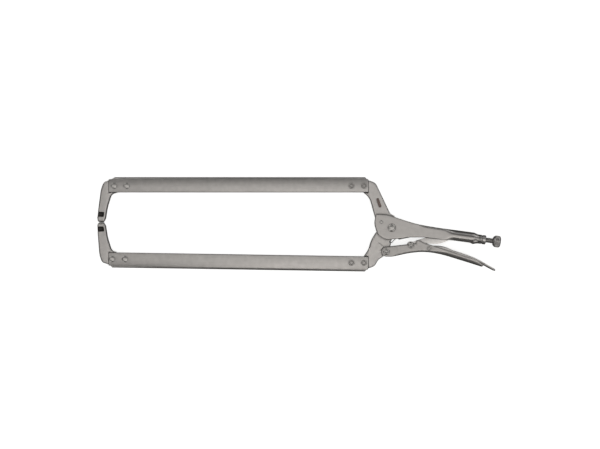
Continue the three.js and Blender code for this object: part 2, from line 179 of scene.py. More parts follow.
def rounded(corners):
    """Points of an outline given as (x, y, radius); the rounding starts one radius before a corner."""
    points = []
    for i, (x, y, *radius) in enumerate(corners):
        corner = Vector((x, y))
        if not radius:
            points.append(corner)
            continue
        before = Vector(corners[i - 1][:2]) - corner
        after = Vector(corners[(i + 1) % len(corners)][:2]) - corner
        start = corner + before.normalized() * radius[0]
        end = corner + after.normalized() * radius[0]
        for step in range(CORNER_STEPS + 1):
            t = step / CORNER_STEPS
            points.append(start * (1 - t) ** 2 + corner * 2 * t * (1 - t) + end * t * t)
    return points


def plate(name, corners, low, high):
    """A solid with this outline, from height low to height high."""
    points = rounded(corners)
    bpy.ops.mesh.primitive_circle_add(vertices=len(points), fill_type="NGON")
    piece = named(name)
    for vertex, point in zip(piece.data.vertices, points):
        vertex.co = (point.x, point.y, low)
    edit(piece)
    bpy.ops.mesh.extrude_region_move(TRANSFORM_OT_translate={"value": (0, 0, high - low)})
    face_outwards()
    bpy.ops.object.mode_set(mode="OBJECT")
    return piece


def rim(edge, height):
    """True for an edge that lies wholly at one height."""
    return all(abs(vertex.co.z - height) < 0.01 for vertex in edge.verts)


def bevel_rims(piece, heights, width, segments=4, skip=None):
    """Round the rims at these heights, but not the edges that skip is true for."""
    edit(piece)
    pick("edges", lambda edge: any(rim(edge, height) for height in heights) and not (skip and skip(edge)))
    bpy.ops.mesh.bevel(offset=width, segments=segments, profile=0.5, affect="EDGES")
    bpy.ops.object.mode_set(mode="OBJECT")


def combine(piece, other, operation):
    """Join, cut or intersect a piece with another one, which is used up."""
    modify(piece, "BOOLEAN", object=other, operation=operation, solver="EXACT")
    bpy.data.objects.remove(other)
    return piece


# %% [markdown]
# ## Turned pieces
#
# Rivets, bush, screw blank and knob come off a lathe. A stack of cylinders would do for a sketch, but
# it has no fillets. So one vertex is extruded along half the profile, and the line is spun round the
# Z axis. Where the profile meets the axis the spin leaves many vertices in one place, so doubles are
# joined afterwards, and the faces are turned outwards.

# %% Turning a profile
AROUND = 40


def turned(name, profile, steps=AROUND):
    """A body of revolution about Z, from points (radius, height)."""
    bpy.ops.mesh.primitive_plane_add(size=1)
    piece = named(name)
    edit(piece)
    bpy.ops.mesh.merge(type="CENTER")
    bpy.ops.mesh.select_mode(type="VERT")
    bpy.ops.mesh.select_all(action="SELECT")
    bpy.ops.transform.translate(value=(profile[0][0], 0, profile[0][1]))
    for here, there in zip(profile, profile[1:]):
        step = (there[0] - here[0], 0, there[1] - here[1])
        bpy.ops.mesh.extrude_region_move(TRANSFORM_OT_translate={"value": step})
    bpy.ops.mesh.select_all(action="SELECT")
    bpy.ops.mesh.spin(steps=steps, angle=math.tau, center=(0, 0, 0), axis=(0, 0, 1))
    face_outwards()
    bpy.ops.object.mode_set(mode="OBJECT")
    return piece


def shift(piece, by):
    """Move all of a piece's mesh by a step in millimetres."""
    edit(piece)
    bpy.ops.transform.translate(value=tuple(by))
    bpy.ops.object.mode_set(mode="OBJECT")
    return piece


# %% [markdown]
# ## Pressed sheet
#
# Arms, handles and lever are bent from flat sheet. The blank is a flat grid. Each row of the grid is
# laid on the section that the press gives the sheet at that place, and the Solidify modifier then
# gives it a wall inwards, so that the outside keeps its size. Extruding one section again and again
# gives the same shape but is much slower to write, because every section differs.
#
# The punch that cuts the blank drags its edge down, so the outside is rounded there. A Bevel modifier
# could do it, but its width is held back by the shortest edge in its way, and a bent sheet has very
# short ones. So the outside's points near the edge are lowered by the height of a rounded corner.

# %% Pressing a blank over its sections
def pressed(name, sections, wall, edge, keep=None, roll=None):
    """A sheet through sections of equal length, with its wall inwards.

    keep tells which faces stay, and roll how far the outside drops near the sheet's edge.
    """
    across = len(sections[0])
    bpy.ops.mesh.primitive_grid_add(x_subdivisions=across - 1, y_subdivisions=len(sections) - 1)
    piece = named(name)
    points = [point for section in sections for point in section]
    for vertex, point in zip(piece.data.vertices, points):
        vertex.co = point
    edit(piece)
    if keep:
        pick("faces", lambda face: not keep(face.calc_center_median()))
        bpy.ops.mesh.delete(type="FACE")
    face_outwards()
    bpy.ops.object.mode_set(mode="OBJECT")
    outside = len(piece.data.vertices)
    modify(piece, "SOLIDIFY", thickness=wall, offset=-1)
    if roll:
        for vertex in piece.data.vertices[:outside]:
            vertex.co.z -= math.copysign(roll(vertex.co), vertex.co.z)
    break_edges(piece, edge, 3)
    smooth(piece)
    return piece


def round_drop(distance, radius):
    """How far a rounded edge of this radius has dropped at a distance from the edge."""
    return radius - math.sqrt(radius**2 - max(radius - distance, 0) ** 2)


def nearest(points):
    """Tells how far a place is from the closest of some points, seen from the side."""
    tree = KDTree(len(points))
    for i, point in enumerate(points):
        tree.insert((point[0], point[1], 0), i)
    tree.balance()
    return lambda place: tree.find((place.x, place.y, 0))[2]


def ease(value, start, end):
    """From 0 to 1, smoothly, as value goes from start to end."""
    t = min(max((value - start) / (end - start), 0), 1)
    return t * t * (3 - 2 * t)


print("helpers ready")

# %% [markdown]
# ## The channel arms
#
# Each arm is a straight channel of 2.5 mm strip, bent on a brake, with its web on the outside of the
# clamp and its ends cut at a slant so that no corner catches a sleeve. It could be pressed from a
# grid like the handles, but its section never changes. So it starts as a box: the faces that a
# channel lacks are deleted, the two bends are bevels, and the slanted cuts are bisections.

# %% Arms
ARM_SHEET = 2.5
ARM_BEND = 3.2
LEG_ROUNDING = 1.1
CORNER_BREAK = 0.4
CUT_HEIGHT = 5.6
REAR_CUT = 4.6
UPPER_FRONT_CUT = 9
LOWER_FRONT_CUT = 5.5
LOWER_TILT = math.radians(0.9)

arm_low, arm_high = ((corner - PIVOT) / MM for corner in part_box("upper_arm"))
ARM_LENGTH = arm_high.x - arm_low.x
ARM_DEPTH = arm_high.y - arm_low.y
ARM_WIDTH = arm_high.z - arm_low.z
ARM_REAR = arm_high.x
UPPER_INNER = arm_low.y
LOWER_INNER = -43.1


def arm_matrix(inner, tilt, side):
    """From arm directions, length towards the pads and depth towards the web, to the clamp's."""
    matrix = Matrix.Identity(4)
    matrix.col[0] = (-math.cos(tilt), math.sin(tilt), 0, 0)
    matrix.col[1] = (side * math.sin(tilt), side * math.cos(tilt), 0, 0)
    matrix.col[3] = (ARM_REAR, inner, 0, 1)
    return matrix


UPPER_ARM = arm_matrix(UPPER_INNER, 0, 1)
LOWER_ARM = arm_matrix(LOWER_INNER, LOWER_TILT, -1)


def slant(corner_x, towards):
    """In edit mode, cut an end of the web off, from the leg's side to corner_x on the web."""
    bpy.ops.mesh.select_all(action="SELECT")
    normal = Vector((towards[0], towards[1], 0)).normalized()
    bpy.ops.mesh.bisect(plane_co=(corner_x, ARM_DEPTH, 0), plane_no=normal, clear_outer=True)


def channel_arm(name, arm, front_cut):
    bpy.ops.mesh.primitive_cube_add(size=1)
    piece = named(name)
    edit(piece)
    bpy.ops.transform.resize(value=(ARM_LENGTH, ARM_DEPTH, ARM_WIDTH))
    bpy.ops.transform.translate(value=(ARM_LENGTH / 2, ARM_DEPTH / 2, 0))
    pick("faces", lambda face: face.normal.y < -0.9 or abs(face.normal.x) > 0.9)
    bpy.ops.mesh.delete(type="FACE")
    pick("edges", lambda edge: all(abs(v.co.y - ARM_DEPTH) < 0.01 for v in edge.verts)
         and abs(edge.verts[0].co.z - edge.verts[1].co.z) < 0.01)
    bpy.ops.mesh.bevel(offset=ARM_BEND, segments=6, profile=0.5, affect="EDGES")
    slant(REAR_CUT, (-CUT_HEIGHT, REAR_CUT))
    slant(ARM_LENGTH - front_cut, (CUT_HEIGHT, front_cut))
    face_outwards()
    bpy.ops.object.mode_set(mode="OBJECT")
    modify(piece, "SOLIDIFY", thickness=ARM_SHEET, offset=-1, use_even_offset=True)
    edit(piece)
    pick("edges", lambda edge: all(v.co.y < 0.1 for v in edge.verts) and edge.calc_length() > 9)
    bpy.ops.mesh.bevel(offset=LEG_ROUNDING, segments=4, profile=0.5, affect="EDGES")
    bpy.ops.object.mode_set(mode="OBJECT")
    break_edges(piece, CORNER_BREAK, 2)
    piece.data.transform(arm)
    if arm.determinant() < 0:
        piece.data.flip_normals()
    smooth(piece)
    return piece


upper_channel = channel_arm("upper_arm_channel", UPPER_ARM, UPPER_FRONT_CUT)
lower_channel = channel_arm("lower_arm_channel", LOWER_ARM, LOWER_FRONT_CUT)
print("arm", round(ARM_LENGTH), "x", round(ARM_DEPTH, 1), "x", round(ARM_WIDTH, 1), "mm")

# %% [markdown]
# ## The forgings
#
# Jaws and tips are hammered hot in a die, so no edge is sharp and every step has a fillet. One way is
# a subdivision cage, but fillets where steps meet are hard to control with it. Here a plate gets a
# wide bevel on both rims, recesses and ribs are cut and joined by booleans, and a fine voxel remesh
# with a little smoothing melts the joins together, as the die does. Where a forging meets its arm it
# swells to the arm's width, so that the two are flush.

# %% What forgings share
FORGING = 6.0
TANG = 4.7
TANG_LENGTH = 34
SWELL_LENGTH = 16
EDGE_ROUNDING = 2.3
GAP = 0.3


def on_arm(arm, distance, depth):
    point = arm @ Vector((distance, depth, 0))
    return point.x, point.y


def shoulder(arm, arm_end):
    """A test for the edges of a forging that butt against its arm's end."""
    to_arm = arm.inverted()
    return lambda edge: all(abs((to_arm @ vertex.co).x - arm_end) < 2 * GAP + 0.05 for vertex in edge.verts)


def tang(arm, far, arm_end, root):
    """The thinner end of a forging that is riveted inside its arm, and the root that carries it."""
    high = ARM_DEPTH - ARM_SHEET - GAP
    root_high = ARM_DEPTH - 9
    places = [(far, 2 * GAP), (root, 2 * GAP), (root, root_high), (arm_end, root_high),
              (arm_end, high), (far, high)]
    piece = plate("tang", [on_arm(arm, *place) for place in places], -TANG, TANG)
    bevel_rims(piece, (-TANG, TANG), 0.7, 2)
    return piece


def round_bar(x, y, radius, half_length, sides=40):
    bpy.ops.mesh.primitive_cylinder_add(vertices=sides, radius=radius, depth=2 * half_length,
                                        location=(x, y, 0))
    piece = named("bar")
    bpy.ops.object.transform_apply(location=True, rotation=True, scale=True)
    return piece


def forged(piece, arm, arm_end, voxel=0.5, passes=4):
    """Melt the joins, and let the forging swell to the arm's width where it meets the arm."""
    modify(piece, "REMESH", mode="VOXEL", voxel_size=voxel)
    to_arm = arm.inverted()
    outward = 1 if arm_end else -1
    for vertex in piece.data.vertices:
        along_arm, depth, _ = to_arm @ vertex.co
        distance = (along_arm - arm_end) * outward
        if distance > 0.2 or depth < -0.2:
            swell = (1 - ease(distance, 2, SWELL_LENGTH)) * ease(distance, -12, -4)
            vertex.co.z *= 1 + swell * (ARM_WIDTH / 2 - 0.1 - FORGING) / FORGING
    modify(piece, "SMOOTH", factor=0.5, iterations=passes)
    smooth(piece, 60)
    return piece


def mark(piece, test):
    """Give the faces whose middle passes a test the piece's second material."""
    for face in piece.data.polygons:
        if test(face.center):
            face.material_index = 1


# %% [markdown]
# ## The fixed jaw
#
# This forging carries the fixed arm. Its lower end is held between the handle's cheeks by the jaw
# pivot and a small rivet, and is hollowed to let the moving jaw's hub turn. The outline is traced
# round by a few corners, and the big concave curve inside the throat is a rounded corner. A maker
# would stamp a name here; a blank slot stands for it.

# %% Fixed jaw
SHOULDER = ARM_REAR + GAP
HUB_RADIUS = 9.5
STAMP = (-19.5, 37.6)
STAMP_TURN = math.radians(-69)
STAMP_DEPTH = 0.5

fixed_jaw = plate(
    "fixed_jaw_forging",
    [
        (SHOULDER, UPPER_INNER + 18),
        (-24, UPPER_INNER + 14.5, 5),
        (-2, 21, 2),
        (4.2, 17.8, 1),
        (6, 12, 2),
        (0, 5),
        (-21, 2.5, 3),
        (-25, 16, 6),
        (-33, UPPER_INNER - 8, 7),
        (-42, UPPER_INNER - 0.4),
        (SHOULDER, UPPER_INNER - 0.4),
    ],
    -FORGING,
    FORGING,
)
bevel_rims(fixed_jaw, (-FORGING, FORGING), EDGE_ROUNDING, skip=shoulder(UPPER_ARM, 0))
combine(fixed_jaw, tang(UPPER_ARM, TANG_LENGTH, 0, -4), "UNION")
combine(fixed_jaw, round_bar(0, 0, HUB_RADIUS + 2 * GAP, 20), "DIFFERENCE")
stamp_matrix = Matrix.Translation((*STAMP, 0)) @ Matrix.Rotation(STAMP_TURN, 4, "Z")
ends = [(-7.5, -2.4, 2.4), (7.5, -2.4, 2.4), (7.5, 2.4, 2.4), (-7.5, 2.4, 2.4)]
stamp = plate("stamp", ends, FORGING - STAMP_DEPTH, FORGING + 2)
stamp.data.transform(stamp_matrix)
combine(fixed_jaw, stamp, "DIFFERENCE")
forged(fixed_jaw, UPPER_ARM, 0)
from_stamp = stamp_matrix.inverted()
mark(fixed_jaw, lambda place: abs((from_stamp @ place).x) < 7.2 and abs((from_stamp @ place).y) < 2.2
     and 0 < place.z < FORGING - 0.2)
print("fixed jaw:", len(fixed_jaw.data.polygons), "faces")

# %% [markdown]
# ## The moving jaw
#
# It turns on the jaw pivot by its hub and carries the lower arm. The lower handle's ears straddle it
# at the second rivet, and the body ends there in a low V. A small lug by the hub holds the spring's
# hook. Hub and ear are round bars joined to the plate.

# %% Moving jaw
HANDLE_EYE = 6.9
BODY_STEP = 1.1
LUG = (-2.9, -21.2)

moving_jaw = plate(
    "moving_jaw_forging",
    [
        (-9.2, 3, 3),
        (-23, -6, 5),
        (-31.5, -20, 7),
        (-34.3, LOWER_INNER + 11, 5),
        (-41.5, LOWER_INNER + 0.4),
        (SHOULDER, LOWER_INNER + 0.2),
        (SHOULDER, LOWER_INNER - ARM_DEPTH + 5),
        (-25.5, LOWER_INNER - 15, 5),
        (-20, LOWER_INNER - 5, 3),
        (HANDLE_PIVOT.x - 3, HANDLE_PIVOT.y - 6, 2),
        (HANDLE_PIVOT.x + 4, HANDLE_PIVOT.y + 4),
        (-1.4, -26, 2),
        (-0.6, -18.5, 2),
        (8, -6),
    ],
    -FORGING,
    FORGING,
)
bevel_rims(moving_jaw, (-FORGING, FORGING), EDGE_ROUNDING, skip=shoulder(LOWER_ARM, 0))
v_point = Vector((-11.6, -28.8))
for side in (-1, 1):
    low, high = side * (FORGING - 2), side * FORGING
    wedge = plate("wedge", [(-20.6, -22), tuple(v_point), (-25, -39.9)], low, high)
    for vertex in wedge.data.vertices:
        if abs(vertex.co.z) > FORGING - 1:
            far = (vertex.co.xy - v_point).length
            vertex.co.z = side * (FORGING + BODY_STEP * (1 - far / 14))
    edit(wedge)
    face_outwards()
    combine(moving_jaw, wedge, "UNION")
combine(moving_jaw, round_bar(0, 0, HUB_RADIUS, FORGING), "UNION")
combine(moving_jaw, round_bar(HANDLE_PIVOT.x, HANDLE_PIVOT.y, HANDLE_EYE, FORGING), "UNION")
combine(moving_jaw, tang(LOWER_ARM, TANG_LENGTH, 0, -4), "UNION")
combine(moving_jaw, round_bar(*LUG, 1.3, 20, 20), "DIFFERENCE")
forged(moving_jaw, LOWER_ARM, 0)
print("moving jaw:", len(moving_jaw.data.polygons), "faces")

# %% [markdown]
# ## The tips
#
# Each front tip is riveted in its arm, turns the corner and comes down to a small pad with a raised
# crown. Behind the pad both sides are hollowed to a thin web. The two tips differ only in their heel
# and in where the hollow starts, so one function makes both.

# %% Front tips
PAD_LEVEL = 8.2
PAD_GAP = 2.3
PAD_LENGTH = 9
CROWN_GAP = 0.15
TIP_REACH = 16.2
HOLLOW_WEB = 1.5


def tip(name, arm, side, heel, hollow_at):
    end = ARM_LENGTH + GAP
    pad_y = PAD_LEVEL + side * PAD_GAP / 2
    pad_x = on_arm(arm, ARM_LENGTH, 0)[0] - TIP_REACH
    piece = plate(
        name,
        [
            on_arm(arm, end, ARM_DEPTH - 4.6),
            (*on_arm(arm, ARM_LENGTH + heel[0] - 4.6, ARM_DEPTH - 7.4), 3.4),
            (*on_arm(arm, ARM_LENGTH + heel[0] - 0.4, ARM_DEPTH - 17.5), 6),
            (pad_x - 1.3, pad_y + side * 5, 3),
            (pad_x, pad_y),
            (pad_x + PAD_LENGTH, pad_y),
            (pad_x + 11.4, pad_y + side * 4, 1.5),
            (pad_x + 14.2, pad_y + side * 22, 6),
            (*on_arm(arm, ARM_LENGTH - 4, -2.6), 4.5),
            on_arm(arm, ARM_LENGTH - 13, -0.35),
            on_arm(arm, end, -0.35),
        ],
        -FORGING,
        FORGING,
    )
    bevel_rims(piece, (-FORGING, FORGING), EDGE_ROUNDING, skip=shoulder(arm, ARM_LENGTH))
    for face in (-1, 1):
        low, high = sorted((face * HOLLOW_WEB, face * 9))
        hollow = plate(
            "hollow",
            [
                (pad_x - 3, pad_y + side * (hollow_at + 0.4)),
                (pad_x + 8.4, pad_y + side * hollow_at, 1.2),
                (pad_x + 9.4, pad_y + side * (hollow_at + 7.2), 1.2),
                (pad_x - 3, pad_y + side * (hollow_at + 7.8)),
            ],
            low,
            high,
        )
        combine(piece, hollow, "DIFFERENCE")
    crown = plate(
        "crown",
        [
            (pad_x + 1.2, pad_y + side * 2, 0.6),
            (pad_x + 1.8, PAD_LEVEL + side * CROWN_GAP),
            (pad_x + PAD_LENGTH - 0.6, PAD_LEVEL + side * CROWN_GAP),
            (pad_x + PAD_LENGTH, pad_y + side * 2, 0.6),
        ],
        1 - FORGING,
        FORGING - 1,
    )
    bevel_rims(crown, (1 - FORGING, FORGING - 1), 0.8, 2)
    combine(piece, crown, "UNION")
    combine(piece, tang(arm, ARM_LENGTH - TANG_LENGTH, ARM_LENGTH, ARM_LENGTH + 4), "UNION")
    forged(piece, arm, ARM_LENGTH, 0.45, 3)
    # The dark second material: on the hollows it is dark scale and painted shade, on the pad faces along
    # the gap between the pads it is painted shade only.
    mark(piece, lambda place: pad_x - 3 < place.x < pad_x + 9.2 and abs(place.z) < FORGING - 0.5
         and hollow_at - 0.4 < side * (place.y - pad_y) < hollow_at + 8.2)
    mark(piece, lambda place: place.x > pad_x + 2 and abs(place.y - PAD_LEVEL) < PAD_GAP / 2 + 0.5)
    return piece


upper_tip = tip("upper_tip_forging", UPPER_ARM, 1, (12.2, 0), 7)
lower_tip = tip("lower_tip_forging", LOWER_ARM, -1, (14.4, 5), 5.2)
print("tips:", len(upper_tip.data.polygons), "and", len(lower_tip.data.polygons), "faces")

# %% [markdown]
# ## The upper handle
#
# One blank becomes two flat cheeks at the front, a channel in the middle and a tube at the rear, open
# below where the link enters. In front the sheet fans out round the cheeks' curved nose. From the
# first bend on, the web gets its rounded corners, and behind that every section slides from a
# channel to a circle. Nothing else gives such a smooth change, because the same rows of the grid run
# from the cheeks to the end of the tube.

# %% Upper handle: its edges
CHEEK_HALF = 8.8
CHEEK_SHEET = 2.5
WEB_START = 37
WEB_BEND = 3.4
TUBE_START = Vector((86, -10.95, 0))
TUBE_LENGTH = 38
TAPER_LENGTH = 6.5
TAPER_END = 6.9
SLOT_HALF = 5.1
SLOT_END = 38
WALLS = 8
BENDS = 8
EDGE_STEPS = 5
EDGE_ROLL = 1.3
EDGE_BREAK = 0.3

travel_axis = Vector(next(j for j in frame["joints"] if j["name"] == "screw_travel")["axis"])
TUBE_TILT = math.atan2(travel_axis.y, travel_axis.x)
TUBE_ALONG = Vector((math.cos(TUBE_TILT), math.sin(TUBE_TILT), 0))
TUBE_UP = Vector((-math.sin(TUBE_TILT), math.cos(TUBE_TILT), 0))

CHEEK_TOP = [
    (-22.6, 20.3),
    (-12, 19.8),
    (-4, 18.6),
    (18, 11.5),
    (36, 6.1),
    (54, 2.5),
    (72, -0.4),
    (94, -3.6),
]
CHEEK_NOSE = [
    (-23.2, 20.3),
    (-23.9, 19, 1),
    (-26.3, 7, 6),
    (-21, -10.5, 5),
    (-9, -18, 4),
    (14, -16.4, 2),
    (24, -14.4, 3),
    (48, -14.4, 4),
    (72, -17.4),
    (94, -20.4),
]
FAN_END = 14
FAN_CROWDING = 1.4
FRONT_FOOT = 5
ROLL_FADE = (64, 84)


def line_at(points, x):
    """The height at x of a line of points, straight between them."""
    for start, end in zip(points, points[1:]):
        if x <= end[0]:
            return start[1] + (end[1] - start[1]) * (x - start[0]) / (end[0] - start[0])
    return points[-1][1]


def height_at(points, x):
    """The height of a smooth line through points, at x."""
    last = len(points) - 1
    i = max(k for k in range(last) if k == 0 or points[k][0] <= x)
    before, start, end, after = (points[min(max(i + k, 0), last)] for k in (-1, 0, 1, 2))
    span = end[0] - start[0]
    t = (x - start[0]) / span
    rise_in = (end[1] - before[1]) / (end[0] - before[0]) * span
    rise_out = (after[1] - start[1]) / (after[0] - start[0]) * span
    return (
        (2 * t**3 - 3 * t**2 + 1) * start[1]
        + (t**3 - 2 * t**2 + t) * rise_in
        + (3 * t**2 - 2 * t**3) * end[1]
        + (t**3 - t**2) * rise_out
    )


def walk(points, step):
    """Points a step apart along a line of points."""
    places = [Vector(points[0])]
    for there in map(Vector, points[1:]):
        while (there - places[-1]).length > step:
            places.append(places[-1] + (there - places[-1]).normalized() * step)
    return places


# %% Upper handle: its sections
def circle_section(radius, slot_half):
    """A section (y, z) of the tube, from one edge of its slot over the top to the other edge."""
    foot = math.asin(min(slot_half / radius, 1))
    count = EDGE_STEPS + WALLS + BENDS + 2
    crown = math.radians(172)
    angles = [foot + (crown - foot) * i / (count - 1) for i in range(count)]
    half = [(-radius * math.cos(angle), radius * math.sin(angle)) for angle in angles]
    return half + [(y, -z) for y, z in reversed(half)]


def cheek_section(top, bottom, half, bend, rise):
    """A section (y, z) of the channel, from one foot over the web to the other.

    A bend of 0 leaves the cheek flat, but keeps its points close together near both edges.
    """
    roll = min(EDGE_ROLL, (top - rise - bottom) / 2)
    foot = bottom + roll
    side = [(foot - roll * math.cos(math.pi / 2 * i / EDGE_STEPS), half) for i in range(EDGE_STEPS)]
    side += [(foot + (top - rise - foot) * i / WALLS, half) for i in range(WALLS)]
    for i in range(BENDS + 1):
        angle = math.pi / 2 * i / BENDS
        side.append((top - rise + rise * math.sin(angle), half - bend + bend * math.cos(angle)))
    side.append((top, (half - bend) * 0.4))
    return side + [(y, -z) for y, z in reversed(side)]


def tube_radius(distance):
    share = ease(distance, TUBE_LENGTH - 2, TUBE_LENGTH + TAPER_LENGTH)
    return CHEEK_HALF + (TAPER_END - CHEEK_HALF) * share


def tube_row(distance):
    slot_half = SLOT_HALF * math.sqrt(1 - ease(distance, SLOT_END - SLOT_HALF, SLOT_END))
    centre = TUBE_START + TUBE_ALONG * distance
    section = circle_section(tube_radius(distance), slot_half)
    return [centre + TUBE_UP * y + Vector((0, 0, z)) for y, z in section]


def cheek_row(foot, top_x, bow):
    """A row from its foot to the top edge at top_x, straight or bowed like the front edge."""
    top = height_at(CHEEK_TOP, top_x)
    rise = EDGE_ROLL + (WEB_BEND - EDGE_ROLL) * ease(top_x, WEB_START, 50)
    bend = rise if top_x > WEB_START else 0
    first_foot, front_top = front_edge[0], front_edge[-1]
    row = []
    for y, z in cheek_section(top, foot.y, CHEEK_HALF, bend, rise):
        share = (y - foot.y) / (top - foot.y)
        front_y = first_foot[0] + (front_top[0] - first_foot[0]) * share
        bulge = line_at(front_edge, front_y) - first_foot[1] - (front_top[1] - first_foot[1]) * share
        row.append(Vector((foot.x + (top_x - foot.x) * share + bow * bulge, y, z)))
    return row


rows = []
nose = walk(rounded(CHEEK_NOSE), 1.5)
front = [foot for foot in nose if foot.y > FRONT_FOOT and foot.x < 0]
front_edge = [(foot.y, foot.x) for foot in reversed(front)]
feet = nose[len(front) - 1:]
fan = [foot for foot in feet if foot.x < FAN_END]
for i, foot in enumerate(feet):
    leaning = i < len(fan)
    share = (i / len(fan)) ** FAN_CROWDING
    top_x = CHEEK_TOP[0][0] + (FAN_END - CHEEK_TOP[0][0]) * share if leaning else foot.x
    row = cheek_row(foot, top_x, max(0, 1 - i / 9))
    roundness = ease(foot.x, 76, 93)
    if roundness > 0:
        tube = tube_row((foot - Vector(TUBE_START.xy)).dot(TUBE_ALONG.xy))
        row = [flat.lerp(round_, roundness) for flat, round_ in zip(row, tube)]
    rows.append(row)
distance = (feet[-1] - Vector(TUBE_START.xy)).dot(TUBE_ALONG.xy) + 1.2
while distance < TUBE_LENGTH + TAPER_LENGTH:
    rows.append(tube_row(distance))
    distance += 1 if distance > SLOT_END - SLOT_HALF else 2
rows.append(tube_row(TUBE_LENGTH + TAPER_LENGTH))

last_front = max(row[0].x for row in rows if row[0].x <= WEB_START)
top_places = [CHEEK_TOP[0][0], *range(-22, WEB_START, 2), last_front]
top_edge = [(x, height_at(CHEEK_TOP, x)) for x in top_places]
to_cheek_edge = nearest(walk(rounded(CHEEK_NOSE), 0.25) + walk(top_edge, 0.25))


def cheek_roll(place):
    return round_drop(to_cheek_edge(place), EDGE_ROLL) * (1 - ease(place.x, *ROLL_FADE))


upper_handle = pressed(
    "upper_handle_pressing",
    rows,
    CHEEK_SHEET,
    EDGE_BREAK,
    keep=lambda centre: centre.x > last_front or abs(centre.z) > CHEEK_HALF - 0.3,
    roll=cheek_roll,
)
print("upper handle:", len(rows), "rows,", len(upper_handle.data.polygons), "faces")

# %% [markdown]
# ## The lower handle
#
# It opens upwards and its web lies along the hand's side. Two round ears in front hold the moving
# jaw. Just behind them the sheet steps inwards over a short slope, which stiffens the ears. The same
# kind of grid does it, with the section turned over. Towards the rear the section grows rounder,
# because that is where the palm presses.

# %% Lower handle
EAR_RADIUS = 7.4
EAR_HALF = 8.5
GRIP_HALF = 7.8
HANDLE_SHEET = 2.0
HANDLE_WEB_START = 1.5
HANDLE_BEND = 3.4
PALM_BEND = 3.2
PALM = (56, 92)
STEP_START = 6.6
STEP_END = 9.4
HANDLE_END = 135.4
END_LEAN = 1.3

HANDLE_TOP = [
    (HANDLE_PIVOT.x, HANDLE_PIVOT.y + EAR_RADIUS),
    (28, -20.6, 10),
    (41, -18.2, 2.5),
    (48.5, -23, 3),
    (58, -25.4),
    (70, -29.4),
    (90, -36),
    (122, -47.2),
    (142, -56),
]
HANDLE_WEB = [
    (-16, -43.9),
    (HANDLE_PIVOT.x, HANDLE_PIVOT.y - EAR_RADIUS),
    (1.5, -43.1),
    (26, -38.2),
    (49, -36.4),
    (73, -39.8),
    (104, -48.8),
    (138, -59.5),
]


def handle_row(x, top, bottom, lean=0):
    """A row of the lower handle, whose section grows rounder below towards the rear."""
    half = EAR_HALF + (GRIP_HALF - EAR_HALF) * ease(x, STEP_START, STEP_END)
    front_rise = EDGE_ROLL + (HANDLE_BEND - EDGE_ROLL) * ease(x, HANDLE_WEB_START, 6)
    front_bend = front_rise if x > HANDLE_WEB_START else 0
    round_off = ease(x, *PALM)
    bend = front_bend + PALM_BEND * round_off
    rise = front_rise + (0.94 * (top - bottom) - HANDLE_BEND) * round_off
    section = cheek_section(-bottom, -top, half, bend, rise)
    return [Vector((x - lean * (y + bottom), -y, z)) for y, z in section]


handle_rows = []
for i in range(1, 12):
    angle = math.pi / 2 * i / 12
    x = HANDLE_PIVOT.x - EAR_RADIUS * math.cos(angle)
    rise = EAR_RADIUS * math.sin(angle)
    handle_rows.append(handle_row(x, HANDLE_PIVOT.y + rise, HANDLE_PIVOT.y - rise))
top_line = [(p.x, p.y) for p in rounded(HANDLE_TOP[1:-1])]
top_line = [HANDLE_TOP[0][:2], *top_line, HANDLE_TOP[-1][:2]]
x = HANDLE_PIVOT.x
while x < HANDLE_END:
    lean = END_LEAN * ease(x, HANDLE_END - 16, HANDLE_END)
    web = height_at(HANDLE_WEB, x)
    top = line_at(top_line, x + lean * (line_at(top_line, x) - web))
    handle_rows.append(handle_row(x, top, web, lean))
    x += 1.2

last_ear = max(row[0].x for row in handle_rows if row[0].x <= HANDLE_WEB_START)
ear_steps = [math.radians(angle) for angle in range(90, 271, 3)]
ear_edge = [HANDLE_PIVOT.xy + EAR_RADIUS * Vector((math.cos(a), math.sin(a))) for a in ear_steps]
bottom_places = [HANDLE_PIVOT.x + (last_ear - HANDLE_PIVOT.x) * i / 20 for i in range(21)]
bottom_edge = [(x, height_at(HANDLE_WEB, x)) for x in bottom_places]
to_handle_edge = nearest(ear_edge + walk(bottom_edge, 0.25) + walk(top_line, 0.25))


def handle_roll(place):
    return round_drop(to_handle_edge(place), EDGE_ROLL) * (1 - ease(place.x, 100, 125))


lower_handle = pressed(
    "lower_handle_pressing",
    handle_rows,
    HANDLE_SHEET,
    EDGE_BREAK,
    keep=lambda centre: centre.x > last_ear or abs(centre.z) > EAR_HALF - 0.3,
    roll=handle_roll,
)
print("lower handle:", len(lower_handle.data.polygons), "faces")

# %% [markdown]
# ## The release lever
#
# A narrower channel lies upside down in the lower handle, on a pin, and its tail stands out past the
# handle's end, where a finger lifts it. Towards the tail the walls get lower, and the tip narrows to a
# round end.

# %% Release lever
LEVER_HALF = 5.6
LEVER_SHEET = 1.6
LEVER_TOP = [
    (49.6, -30.4),
    (52, -28.2),
    (57, -27),
    (72, -27.2),
    (82, -29.4),
    (90.5, -33.1),
    (106.7, -38.4),
    (122.7, -44.4),
    (134, -49.8),
    (142, -54.4),
    (156, -62.4),
]
LEVER_FOOT = [
    (49.6, -32.4),
    (52, -33.9),
    (57, -34.8),
    (70, -36.3),
    (84, -38.8),
    (100, -42.6),
    (120, -47.6),
    (132, -53.2),
    (140, -57.7),
    (156, -66.4),
]

